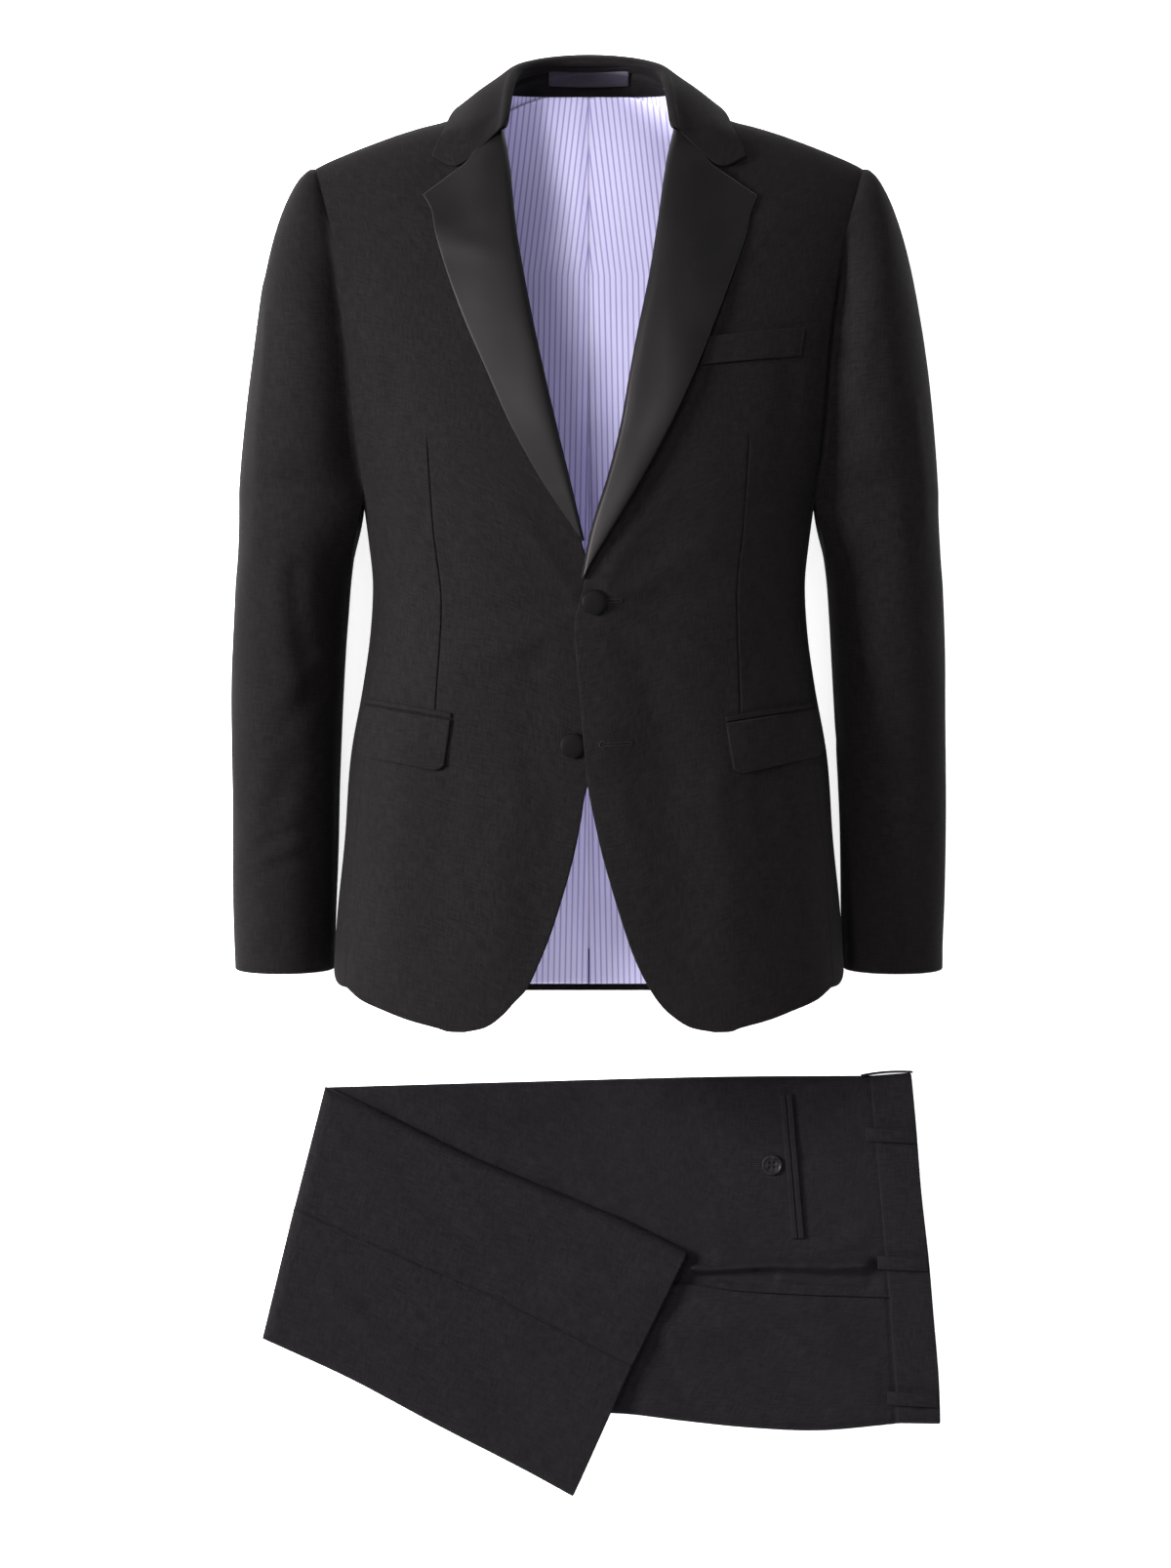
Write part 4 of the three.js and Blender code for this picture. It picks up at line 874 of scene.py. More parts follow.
def thread_material():
    """Twisted silk thread."""
    material, s, surface = new_material("thread")
    flat, room = cloth_places(s)
    handling = use(s, HANDLING, Place=room, Patch_Size=0.004)
    place = s.node("ShaderNodeSeparateXYZ", Vector=flat).outputs
    slanted = s.math("ADD", place["X"], place["Y"])
    twist = s.math("SINE", s.math("MULTIPLY", slanted, FULL_TURN * THREAD_TWIST))
    base = s.blend(s.between(twist, -1.0, 1.0), (0.003, 0.0027, 0.003, 1.0), (0.010, 0.009, 0.010, 1.0))
    s.fill(surface, Base_Color=base, Roughness=s.between(handling["Patches"], 0.0, 1.0, 0.55, 0.7),
           Specular_IOR_Level=0.1)
    raise_surface(s, surface, 0.5, 0.0002, twist)
    return material


def floor_material():
    material, s, surface = new_material("pale floor")
    room = s.node("ShaderNodeTexCoord").outputs["Object"]
    handling = use(s, HANDLING, Place=room, Patch_Size=0.9)
    base = s.blend(handling["Patches"], (0.93, 0.93, 0.93, 1.0), (0.95, 0.95, 0.95, 1.0))
    s.fill(surface, Base_Color=base, Roughness=0.9, Emission_Color=WHITE, Emission_Strength=FLOOR_GLOW)
    return material


wool = wool_material("black worsted", 0.0046)
trouser_wool = wool_material("trouser worsted", 0.0054, tint=(1.06, 0.93, 1.12))
satin = satin_material("black satin", 0.0036, 0.4)
button_satin = satin_material("button satin", 0.0026, 0.45, gleam=0.025)
loop_satin = satin_material("violet-grey satin", 0.02, 0.45, tint=(0.98, 0.86, 1.2), gleam=0.1)
striped_lining = lining_material()
resin = button_material()
thread = thread_material()


def dress(piece, slot, *nodes):
    """The piece rides with the frame and stands for those nodes. The slot is not used."""
    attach(piece, "root")
    if nodes:
        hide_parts(*nodes)


def sew(name, node, grid, outward, thickness, materials, slot="wool", **finish):
    """A cloth piece that stands for one node."""
    dress(cloth(name, grid, outward, thickness, materials, **finish), slot, node)


# Jacket body


def dart_line(side, y):
    """The column of a front that runs along its dart, and above and below it keeps its share."""
    seam = front_seam_x(y)
    plain = mix(seam, inner_edge_x[side](y), DART_SHARE)
    on_dart = smooth(-70, 50, y) * (1 - smooth(290, 410, y))
    return mix(plain, curve(DART[side], "y", "x")(y), on_dart)


def front_grid(side):
    u = crowded(190, 3.0, at=[DART_SHARE])
    v = crowded(715, 2.7)
    u, v = np.meshgrid(u, v)
    level = mix(v, 0.5 - 0.5 * np.cos(np.pi * v), 0.8)
    top = shoulder_y(mix(SHOULDER_TIP_X, NECK_POINT_X, u)) - SEAM_GAP
    y = mix(front_hem_y(u), top, level)
    line = dart_line(side, y)
    outer = mix(front_seam_x(y), line, np.clip(u / DART_SHARE, 0, 1))
    x = np.where(u < DART_SHARE, outer,
                 mix(line, inner_edge_x[side](y), (u - DART_SHARE) / (1 - DART_SHARE)))
    grid = on_front(side, x, y)
    off_dart = np.abs(x - line)
    along_dart = smooth(DART_FOOT_Y - 4, DART_FOOT_Y + 4, y)
    along_dart = along_dart * (1 - smooth(DART_TOP_Y - 14, DART_TOP_Y, y))
    groove = DART_SWELL * bell(off_dart, 5) - DART_DEPTH * bell(off_dart, DART_WIDTH)
    grid[..., 2] += along_dart * groove
    grid[-1, :, 2] = SHOULDER_Z - FRONT_SHOULDER_SINK
    return grid, x, y


def make_front(side):
    grid, x, y = front_grid(side)
    lined = (x > inner_edge_x[side](y) + FACING_WIDTH) & (y > front_hem_y(0.4) + HEM_TURN_UP)
    lined &= (y < ARMPIT_Y) | (x < front_seam_x(y) - ARMHOLE_TURN)
    sew(f"cloth_front_{side}", f"front_{side}", grid, -sign_of(side), WOOL, [wool, striped_lining],
        inner=lined)


def side_angles(y):
    """Angles of the front and the back seam round the body's section."""
    half = body_half(y)
    front = np.arccos(((front_seam_x(y) - SEAM_TUCK) / half) ** (FRONT_FULLNESS / 2))
    back = np.arccos((BACK_SEAM_SHARE - SEAM_TUCK / half) ** (BACK_FULLNESS / 2))
    return front, back


def make_side(side):
    foot = ARMPIT_Y - 2.6
    tongue_start = 0.43
    u, v = np.meshgrid(crowded(150, 3), crowded(440, 3.2))
    below_armpit = 0.9
    below = np.minimum(v / below_armpit, 1)
    above = np.clip((v - below_armpit) / (1 - below_armpit), 0, 1)
    hem = mix(-165, HEM_Y, u) + 16 * bell(u - 0.36, 0.2)
    y = mix(hem, foot, below)
    half = body_half(y)
    front, back = side_angles(y)
    angle = mix(front, -back, u)
    power = np.where(angle > 0, FRONT_FULLNESS, BACK_FULLNESS)
    x = half * np.abs(np.cos(angle)) ** (2 / power)
    z = np.where(angle > 0, front_height(x, y), back_height(x, y))
    grid = np.stack([sign_of(side) * x, y, z], axis=-1)
    t = np.clip((u - tongue_start) / (1 - tongue_start), 0, 1)
    top = foot + 1 + (SIDE_TONGUE - 1) * t
    tongue_x = back_armhole_x(top) - 1 - 2 * (1 - t)
    tongue = np.stack([sign_of(side) * tongue_x, top, back_height(tongue_x, top) + 3 * t], axis=-1)
    flat_top = grid.copy()
    flat_top[..., 1] = foot + 1
    tongue = np.where((t > 0)[..., None], tongue, flat_top)
    grid = mix(grid, tongue, above[..., None])
    swing = 1.3 * ripple(y, 150 * angle, 190, 0.7) * np.sin(np.pi * u) * (1 - above)
    grid = grid + unit_normals(grid) * (sign_of(side) * swing)[..., None]
    lined = y > HEM_Y + HEM_TURN_UP
    sew(f"cloth_side_{side}", f"side_{side}", grid, sign_of(side), WOOL, [wool, striped_lining],
        inner=lined)


BACK_COLUMNS = np.array([0, 0.075, 0.15, 0.225, 0.3, 0.42, 0.58, 0.78, 1])
BACK_ROWS = 17
BACK_ROWS_TO_ARMPIT = 8
LINING_COLUMNS = 5
NECK_FACING_REACH = 75.5
HANGER_LOOP_REACH = 33
LINING_FIRST_ROW = 0.11
FACING_ROWS = 1


def back_place(side, column, row):
    """A place on the back: columns from the centre seam out, rows from the hem to the neck."""
    share = np.interp(column, np.arange(len(BACK_COLUMNS)), BACK_COLUMNS)
    above = np.maximum(row - BACK_ROWS_TO_ARMPIT, 0) / (BACK_ROWS - BACK_ROWS_TO_ARMPIT)
    below = np.minimum(row / BACK_ROWS_TO_ARMPIT, 1)
    top = back_top_y(SHOULDER_TIP_X * share) - 2 * SEAM_GAP
    y = np.where(above > 0, mix(ARMPIT_Y, top, 1 - (1 - above) ** 1.55), mix(HEM_Y, ARMPIT_Y, below))
    seam_x = body_half(ARMPIT_Y) * BACK_SEAM_SHARE
    armhole = mix(seam_x, back_armhole_x(y), smooth(0, 0.11, above))
    outer = np.where(above > 0, armhole, body_half(y) * BACK_SEAM_SHARE)
    x = mix(SEAM_GAP / 2, outer, share)
    return np.stack(np.broadcast_arrays(sign_of(side) * x, y, back_height(x, y)), axis=-1)


def make_back(side):
    column, row = np.meshgrid(crowded(190, 3.6) * (len(BACK_COLUMNS) - 1),
                              crowded(760, 3.4) * BACK_ROWS)
    grid = back_place(side, column, row)
    x, y = np.abs(grid[..., 0]), grid[..., 1]
    clear = smooth(0, 14, grid[..., 2]) * smooth(0, 30, body_half(y) * BACK_SEAM_SHARE - x)
    grid[..., 2] += clear * (folds(x, y, BACK_FOLDS) + 0.6 * ripple(x, y, 120, 0.4))
    grid[..., 0] -= sign_of(side) * BACK_LAP * bell(x, 4)
    on_shoulder = smooth(NECK_POINT_X - 24, NECK_POINT_X, x[-1])
    grid[-1, :, 2] = mix(grid[-1, :, 2], SHOULDER_Z + BACK_SHOULDER_RISE, on_shoulder)
    lined = (y < ARMPIT_Y) | (x < back_armhole_x(y) - ARMHOLE_TURN)
    lined &= y > HEM_Y + HEM_TURN_UP
    sew(f"cloth_back_{side}", f"back_{side}", grid, -sign_of(side), WOOL, [wool, striped_lining],
        inner=lined)


def inside_back(side, column, row, rise):
    """A place on the back's inner face, raised off it."""
    grid = back_place(side, column, row)
    normal = unit_normals(grid) * sign_of(side)
    normal *= np.sign(normal[..., 2:] + 1e-9)
    return grid + normal * rise


def make_lining(side):
    """Each half of the lining dips into the pleat at the centre, ripples softly, and lies down under
    the neck facing. Its stripes slant."""
    last_row = BACK_ROWS - FACING_ROWS
    column, row = np.meshgrid(crowded(88, 2.2) * LINING_COLUMNS,
                              mix(LINING_FIRST_ROW, last_row - 0.03, crowded(700, 3.8)))
    column = 0.02 + column * 0.995
    grid = inside_back(side, column, row, WOOL + LAID_GAP + LINING)
    x, y = np.abs(grid[..., 0]), grid[..., 1]
    pleat = bell(x, 5) * smooth(HEM_Y, HEM_Y + 60, y)
    grid[..., 2] += 0.7 - 1.2 * pleat + 0.9 * bell(x - 9, 6)
    near_facing = smooth(480, 550, y)
    waver = 0.6 * ripple(x, y, 90, 0.9 + sign_of(side)) * smooth(0, 20, x)
    grid[..., 2] += waver * (1 - near_facing)
    grid[..., 2] -= 0.7 * near_facing
    slant = 0.1 * np.maximum(y - 420, 0) + 0.02 * y
    sew(f"cloth_lining_{side}", f"lining_{side}", grid, sign_of(side), LINING, [striped_lining],
        slot="lining", cloth_map=np.stack([x + slant, y], axis=-1))


sleeve = {key: curve(SLEEVE, "y", key) for key in ("outer", "inner", "mid", "top", "low")}
cap = {key: curve(SLEEVE_CAP, "y", key) for key in ("outer", "mid", "rise", "fall")}


def on_section(side, y, section, angle):
    """A place round a sleeve section: 0 faces out, a quarter turn faces up, a half turn the body."""
    c, s = np.cos(angle), np.sin(angle)
    inner = np.where(s > 0, section["inner_up"], section["inner_down"])
    centre = (section["outer"] + inner) / 2
    half = (section["outer"] - inner) / 2
    power = 2 / np.where(c > 0, SLEEVE_FULLNESS, INNER_SLEEVE_FULLNESS)
    x = centre + half * np.sign(c) * np.abs(c) ** power
    reach = np.where(s > 0, section["up"], section["down"])
    z = section["mid"] + reach * np.sign(s) * np.abs(s) ** power
    return np.stack(np.broadcast_arrays(sign_of(side) * x, y, z), axis=-1)


def arm_section(y):
    mid, inner = sleeve["mid"](y), sleeve["inner"](y)
    return {"outer": sleeve["outer"](y), "inner_up": inner, "inner_down": inner, "mid": mid,
            "up": sleeve["top"](y) - mid, "down": mid - sleeve["low"](y)}


def cap_section(y):
    """A section above the armpit meets the front and the back at their armholes."""
    front_x = front_seam_x(y) - ARMHOLE_TUCK
    back_x = back_armhole_x(y) - ARMHOLE_TUCK
    outer, mid = cap["outer"](y), cap["mid"](y)
    front_z = front_height(front_seam_x(y), y)
    back_z = back_height(back_armhole_x(y), y)
    up = front_z + cap["rise"](y) - mid
    down = np.minimum(mid - back_z + cap["fall"](y), mid - SLEEVE_CLEARANCE)

    def meet(share, x):
        angle = np.pi - np.arcsin(np.clip(share, 0, 1) ** (INNER_SLEEVE_FULLNESS / 2))
        c = -(np.abs(np.cos(angle)) ** (2 / INNER_SLEEVE_FULLNESS))
        return angle, (2 * x - outer * (1 + c)) / (1 - c)

    front, inner_up = meet((front_z - mid) / up, front_x)
    back, inner_down = meet((mid - back_z) / down, back_x)
    return {"outer": outer, "mid": mid, "up": up, "down": down, "front": front, "back": -back,
            "inner_up": inner_up, "inner_down": inner_down}


def sleeve_seams(y):
    """Angles of the two sleeve seams. They reach the armholes at the armpit."""
    armpit = cap_section(ARMPIT_Y)
    front = mix(FRONT_SLEEVE_SEAM, armpit["front"], smooth(ARMPIT_Y - UNDERARM, ARMPIT_Y, y))
    back = mix(BACK_SLEEVE_SEAM, armpit["back"], smooth(-60, ARMPIT_Y, y))
    return front, back


def sleeve_relief(side, grid, angle, fade):
    """Creases and ripples of a sleeve, with similar ones on its hidden side."""
    x, y = grid[..., 0], grid[..., 1]
    upward = smooth(-0.1, 0.35, np.sin(angle))
    seen = folds(x, y, SLEEVE_FOLDS[side])
    hidden = folds(x * 0.98, y - 30, SLEEVE_FOLDS[side])
    waves = 0.7 * ripple(70 * angle, y, 130, 0.5 + sign_of(side))
    return (seen * upward + hidden * (1 - upward) + waves) * fade


def make_top_sleeve(side):
    """Rows from the cuff to the armpit, then up to the sleeve head."""
    arm_share = 0.55
    first_y, last_y = SLEEVE["y"][0], SLEEVE_CAP["y"][-1]
    u, v = np.meshgrid(crowded(200, 3.4), crowded(690, 3.1))
    arm = np.minimum(v / arm_share, 1)
    arm_y = mix(first_y, ARMPIT_Y, arm)
    front, back = sleeve_seams(arm_y)
    arm_angle = mix(front, back, u)
    on_arm = on_section(side, arm_y, arm_section(arm_y), arm_angle)
    armpit = cap_section(ARMPIT_Y)
    at_armhole = on_section(side, np.full(u.shape, float(ARMPIT_Y)), armpit,
                            mix(armpit["front"], armpit["back"], u))
    near_armpit = smooth(ARMPIT_Y - UNDERARM, ARMPIT_Y, arm_y)[..., None]
    on_arm = mix(on_arm, at_armhole + (on_arm - at_armhole) * [0, 1, 0], near_armpit)
    on_arm[..., 1] -= CUFF_ARCH * np.sin(arm_angle) * (1 - smooth(0, 0.12, v))
    up_cap = 1 - (1 - np.clip((v - arm_share) / (1 - arm_share), 0, 1)) ** 1.5
    cap_y = mix(ARMPIT_Y, last_y, up_cap)
    section = cap_section(cap_y)
    cap_angle = mix(section["front"], section["back"], u)
    on_cap = on_section(side, cap_y, section, cap_angle)
    in_arm = v < arm_share
    grid = np.where(in_arm[..., None], on_arm, on_cap)
    angle = np.where(in_arm, arm_angle, cap_angle)
    at_sides = smooth(0, 0.1, u) * smooth(0, 0.1, 1 - u)
    fade = at_sides * smooth(0, 0.05, 1 - v) * smooth(0, 0.03, v)
    outward = sign_of(side)
    lift = sleeve_relief(side, grid, angle, fade)
    grid = grid + unit_normals(grid) * (outward * lift)[..., None]
    from_seam = from_edges(grid, ("start",))[0]
    level = grid[..., 1]
    below_head = (1 - smooth(380, 470, level)) * smooth(ARMPIT_Y - 12, ARMPIT_Y + 36, level)
    valley = (1 - bell(from_seam, 3)) * bell(from_seam, 26)
    grid[..., 2] -= ARMHOLE_VALLEY * valley * below_head
    sew(f"cloth_top_sleeve_{side}", f"top_sleeve_{side}", grid, outward, WOOL, [wool, striped_lining],
        inner=level > first_y + CUFF_TURN_UP)


def make_under_sleeve(side):
    """The under sleeve closes the arm on the body's side, up to the foot of the armhole."""
    tuck = 0.012
    u, v = np.meshgrid(crowded(90, 3.2), crowded(390, 3.4))
    y = mix(SLEEVE["y"][0], ARMPIT_Y - 0.5, v)
    front, back = sleeve_seams(y)
    angle = mix(front - tuck, back + 2 * np.pi + tuck, u)
    on_arm = on_section(side, y, arm_section(y), angle)
    armpit = cap_section(ARMPIT_Y)
    start = on_section(side, float(ARMPIT_Y), armpit, armpit["front"])
    end = on_section(side, float(ARMPIT_Y), armpit, armpit["back"])
    foot_x = sleeve["inner"](ARMPIT_Y) + 7
    foot = np.array([sign_of(side) * foot_x, ARMPIT_Y, sleeve["mid"](ARMPIT_Y)])
    t = u[..., None]
    scye = (1 - t) ** 2 * start + 2 * t * (1 - t) * foot + t ** 2 * end
    near_armpit = smooth(ARMPIT_Y - UNDERARM, ARMPIT_Y, y)[..., None]
    grid = mix(on_arm, scye + (on_arm - scye) * [0, 1, 0], near_armpit)
    grid[..., 1] -= CUFF_ARCH * np.sin(angle) * (1 - smooth(0, 0.2, v))
    fade = smooth(0, 0.12, u) * smooth(0, 0.12, 1 - u) * smooth(0, 0.12, 1 - v) * smooth(0, 0.04, v)
    lift = sleeve_relief(side, grid, angle, fade)
    grid = grid + unit_normals(grid) * (-sign_of(side) * lift)[..., None]
    sew(f"cloth_under_sleeve_{side}", f"under_sleeve_{side}", grid, -sign_of(side), WOOL,
        [wool, striped_lining], inner=grid[..., 1] > SLEEVE["y"][0] + CUFF_TURN_UP)


def make_lapel(side):
    """A lapel curls over the roll line, swells just outside it and comes down towards its edge."""
    at = {key: along_rows(LAPEL[side], key) for key in LAPEL[side]}
    u, v = np.meshgrid(crowded(66, 1.5), crowded(330, 2.6))
    edge_x, edge_y = at["edgeX"](v), at["edgeY"](v)
    roll_x, roll_y, stand = at["rollX"](v), at["rollY"](v), at["stand"](v)
    width = np.hypot(edge_x - roll_x, edge_y - roll_y)
    curl = np.clip(u / 0.16, 0, 1)
    run = np.clip((u - 0.16) / 0.84, 0, 1)
    x = mix(roll_x, edge_x, run) - 1.6 * np.sin(np.pi * curl) * (run <= 0)
    y = mix(roll_y, edge_y, run)
    under_collar = (1 - smooth(0.1, 0.5, run)) * smooth(0.955, 1, v)
    x = x + 3 * under_collar
    y = y + UNDER_COLLAR * under_collar
    swell = np.minimum(2.4, width * 0.07) * np.sin(np.pi * np.sqrt(run))
    lift = mix(-1.4, 3.4, curl) + swell + (stand - 3) * smooth(0, 1, run)
    waver = 0.5 * ripple(x, y, 110, 2 + sign_of(side)) * smooth(0.05, 0.5, run) * smooth(0, 0.1, v)
    grid = on_front(side, x, y)
    grid[..., 2] += lift + waver - 1.5 * under_collar
    sew(f"satin_lapel_{side}", f"lapel_{side}", grid, sign_of(side), SATIN, [satin, wool], slot="satin")


def collar_grid():
    half = [dict(zip(COLLAR, row)) | {"hand": 1} for row in zip(*COLLAR.values())]
    mirrored = [row | {"hand": -1} for row in half[:0:-1]]
    stations = []
    for row in mirrored + half:
        def place(name):
            x, y, z = row[name + "X"], row[name + "Y"], row[name + "Z"]
            on_leaf = row["onFront"] and name in ("leaf", "edge")
            return np.array([row["hand"] * x, y, z + (front_height(x, y) if on_leaf else 0)])

        seam, roll, leaf, edge = (place(name) for name in ("seam", "roll", "leaf", "edge"))
        across = (leaf - seam) * [1, 1, 0]
        across /= np.linalg.norm(across)
        crest = COLLAR_CREST * across
        drop = np.array([0, 0, COLLAR_CREST])
        stations.append([seam, roll - crest - drop, roll, roll + crest - drop, leaf, edge])
    rails = through(np.array(stations), crowded(420, 2.4))
    u = crowded(86, 1.4)
    return np.swapaxes(through(np.swapaxes(rails, 0, 1), u), 0, 1), u


def make_collar():
    """Two rows of stitching sink into the stand, inside the neck."""
    grid, u = collar_grid()
    normal = unit_normals(grid)
    rows = bell(u - 0.1, 0.011) + bell(u - 0.2, 0.011)
    grid = grid - normal * (0.7 * rows)[None, :, None]
    sew("cloth_collar", "collar", grid, 1, COLLAR_WALL, [wool, wool])


def patch_grid(side, corners, step, corner=0.0):
    """A patch between four corners of a front. Its lower corners are rounded off."""
    outer, inner, low_outer, low_inner = (np.array(corners[k], float) for k in
                                          ("outer", "inner", "low_outer", "low_inner"))
    wide, tall = np.linalg.norm(outer - inner), np.linalg.norm(outer - low_outer)
    u, v = np.meshgrid(crowded(wide, step), crowded(tall, step))
    upper, lower = mix(inner, outer, u[..., None]), mix(low_inner, low_outer, u[..., None])
    place = mix(upper, lower, v[..., None])
    from_end = np.minimum(u, 1 - u) * wide
    cut = 0.0
    if corner:
        cut = corner * FLAP_CORNER_CUT * (1 - np.clip(from_end / corner, 0, 1)) ** 2
    return on_front(side, place[..., 0], place[..., 1] + cut * v), u, v


def make_flap(side):
    """A hip flap swells a little in its middle and stands off at its lower edge."""
    grid, u, v = patch_grid(side, HIP_POCKET[side], 1.3, FLAP_CORNER)
    waver = 0.25 * ripple(grid[..., 0], grid[..., 1], 40, 1)
    grid[..., 2] += 0.9 * np.sin(np.pi * u) * v + 1.1 * v ** 3 + waver
    grid[..., 2] -= 0.4 * bell(v - 0.03, 0.02)
    sew(f"cloth_flap_{side}", f"pocket_flap_{side}", grid, -sign_of(side), WOOL, [wool, satin],
        near=FLAP_GAP + WOOL, turn=1.8)


def make_jet(side):
    flap = HIP_POCKET[side]
    (outer_x, outer_y), (inner_x, inner_y) = flap["outer"], flap["inner"]
    corners = {"outer": (outer_x, outer_y + JET_HEIGHT), "inner": (inner_x, inner_y + JET_HEIGHT),
               "low_outer": (outer_x, outer_y + SEAM_GAP), "low_inner": (inner_x, inner_y + SEAM_GAP)}
    grid = patch_grid(side, corners, 0.8)[0]
    sew(f"cloth_jet_{side}", f"pocket_jet_{side}", grid, -sign_of(side), SATIN, [wool],
        near=JET_GAP + SATIN, turn=1.6)


def make_breast_welt():
    """The welt is sewn at both ends, and its free upper edge stands off a little."""
    grid, u, v = patch_grid("right", BREAST_WELT, 1.1)
    grid[..., 2] += 0.5 + 1.3 * np.sin(np.pi * u) * (1 - v) ** 2
    for end in (0.035, 0.965):
        grid[..., 2] -= 0.45 * bell(u - end, 0.012)
    sew("cloth_breast_welt", "breast_welt", grid, -1, SATIN, [wool], near=LAID_GAP + SATIN)


def neck_band(reach, low, high, rise, arch=0.0):
    """Places of a strip inside the neck. low(x) and high(x) give its edges."""
    u, v = np.meshgrid(crowded(2 * reach, 1.4), crowded(20, 1.2))
    across = mix(-reach, reach, u)
    x = np.abs(across)
    y = mix(low(x), high(x), v)
    below = back_height(x, np.minimum(y, back_top_y(x) - 0.4))
    z = below + 2.5 * v + rise + arch * (1 - (across / reach) ** 4)
    return np.stack([across, y, z], axis=-1)


def make_neck_facing():
    """Its upper edge runs under the collar's stand."""
    grid = neck_band(NECK_FACING_REACH, lambda x: 565.5 - 5 * (x / NECK_FACING_REACH) ** 2,
                     lambda x: back_top_y(x) + 4.5, WOOL + FLAP_GAP + LINING + 1)
    sew("cloth_neck_facing", "neck_facing", grid, 1, LINING, [wool], near=LINING, turn=1.2)


def make_hanger_loop():
    """A flat loop, sewn down at both ends and standing off between them."""
    grid = neck_band(HANGER_LOOP_REACH, lambda x: 572.6 + 0 * x, lambda x: 583.4 + 0 * x,
                     WOOL + FLAP_GAP + 2 * LINING + 4, arch=1.2)
    sew("satin_hanger_loop", "hanger_loop", grid, 1, LINING, [loop_satin], slot="loop", near=LINING,
        turn=1.2)


# Buttons, buttonholes and thread


def ring_faces(shape, closed=False):
    """Faces between rings of points, and the numbers of the points."""
    index = np.arange(shape[0] * shape[1]).reshape(shape)
    if closed:
        index = np.vstack([index, index[:1]])
    after = np.roll(index, -1, axis=1)
    faces = np.stack([index[:-1], after[:-1], after[1:], index[1:]], axis=-1)
    return faces.reshape(-1, 4), index


def lathe(name, profile, around, material, place, relief):
    """A turned piece on a vertical axis. relief(x, y) raises its upper face."""
    profile = np.array(profile, float)
    angle = np.linspace(0, 2 * np.pi, around, endpoint=False)
    radius, height = profile[:, :1], profile[:, 1:]
    x, y = radius * np.cos(angle), radius * np.sin(angle)
    z = height + relief(x, y) * (height > 0.5 * profile[:, 1].max())
    points = np.stack([x, y, z], axis=-1) + np.array(place)
    faces, index = ring_faces(x.shape)
    faces = faces.tolist() + [index[0, ::-1].tolist(), index[-1].tolist()]
    flat = np.stack([x, y], axis=-1).reshape(-1, 2)
    return make_mesh(name, points.reshape(-1, 3), faces, [material], cloth_map=flat)


def tube(name, path, radius, material, closed=False):
    """A round thread along a path."""
    if closed:
        before, beyond = path[-1:], path[:1]
    else:
        before, beyond = 2 * path[:1] - path[1:2], 2 * path[-1:] - path[-2:-1]
    forward = np.vstack([path[1:], beyond]) - np.vstack([before, path[:-1]])
    forward /= np.maximum(np.linalg.norm(forward, axis=1, keepdims=True), 1e-9)
    sideways = np.cross(forward, [0, 0, 1.0])
    sideways /= np.maximum(np.linalg.norm(sideways, axis=1, keepdims=True), 1e-9)
    upward = np.cross(sideways, forward)
    angle = np.linspace(0, 2 * np.pi, THREAD_SIDES, endpoint=False)
    c, s = np.cos(angle)[None, :, None], np.sin(angle)[None, :, None]
    points = path[:, None] + radius * (c * sideways[:, None] + s * upward[:, None])
    faces, index = ring_faces(points.shape[:2], closed)
    faces = faces[:, ::-1].tolist()
    if not closed:
        faces += [index[0].tolist(), index[-1, ::-1].tolist()]
    length = np.concatenate([[0], np.cumsum(np.linalg.norm(np.diff(path, axis=0), axis=1))])
    flat = np.stack(np.broadcast_arrays(length[:, None], angle[None] * radius), axis=-1).reshape(-1, 2)
    return make_mesh(name, points.reshape(-1, 3), faces, [material], cloth_map=flat)


def join(name, pieces):
    """One object from several."""
    for piece in bpy.context.selected_objects:
        piece.select_set(False)
    for piece in pieces:
        piece.select_set(True)
    bpy.context.view_layer.objects.active = pieces[0]
    bpy.ops.object.join()
    joined = bpy.context.view_layer.objects.active
    joined.name = name
    joined.select_set(False)
    return joined


def make_covered_button(name, node, place):
    """A domed disc under stretched satin, with faint gathers round its edge, on a short shank."""
    r, h = COVERED_BUTTON_RADIUS, COVERED_BUTTON_HEIGHT
    place = place + [0, 0, BUTTON_REST]
    profile = [(r * 0.3, -1.6)] + [(r * out, h * up) for out, up in COVERED_BUTTON_PROFILE]

    def gathers(x, y):
        out = np.hypot(x, y) / r
        return 0.05 * np.sin(18 * np.arctan2(y, x)) * smooth(0.7, 1, out)

    dress(lathe(name, profile, 56, button_satin, place, gathers), "covered_button", node)


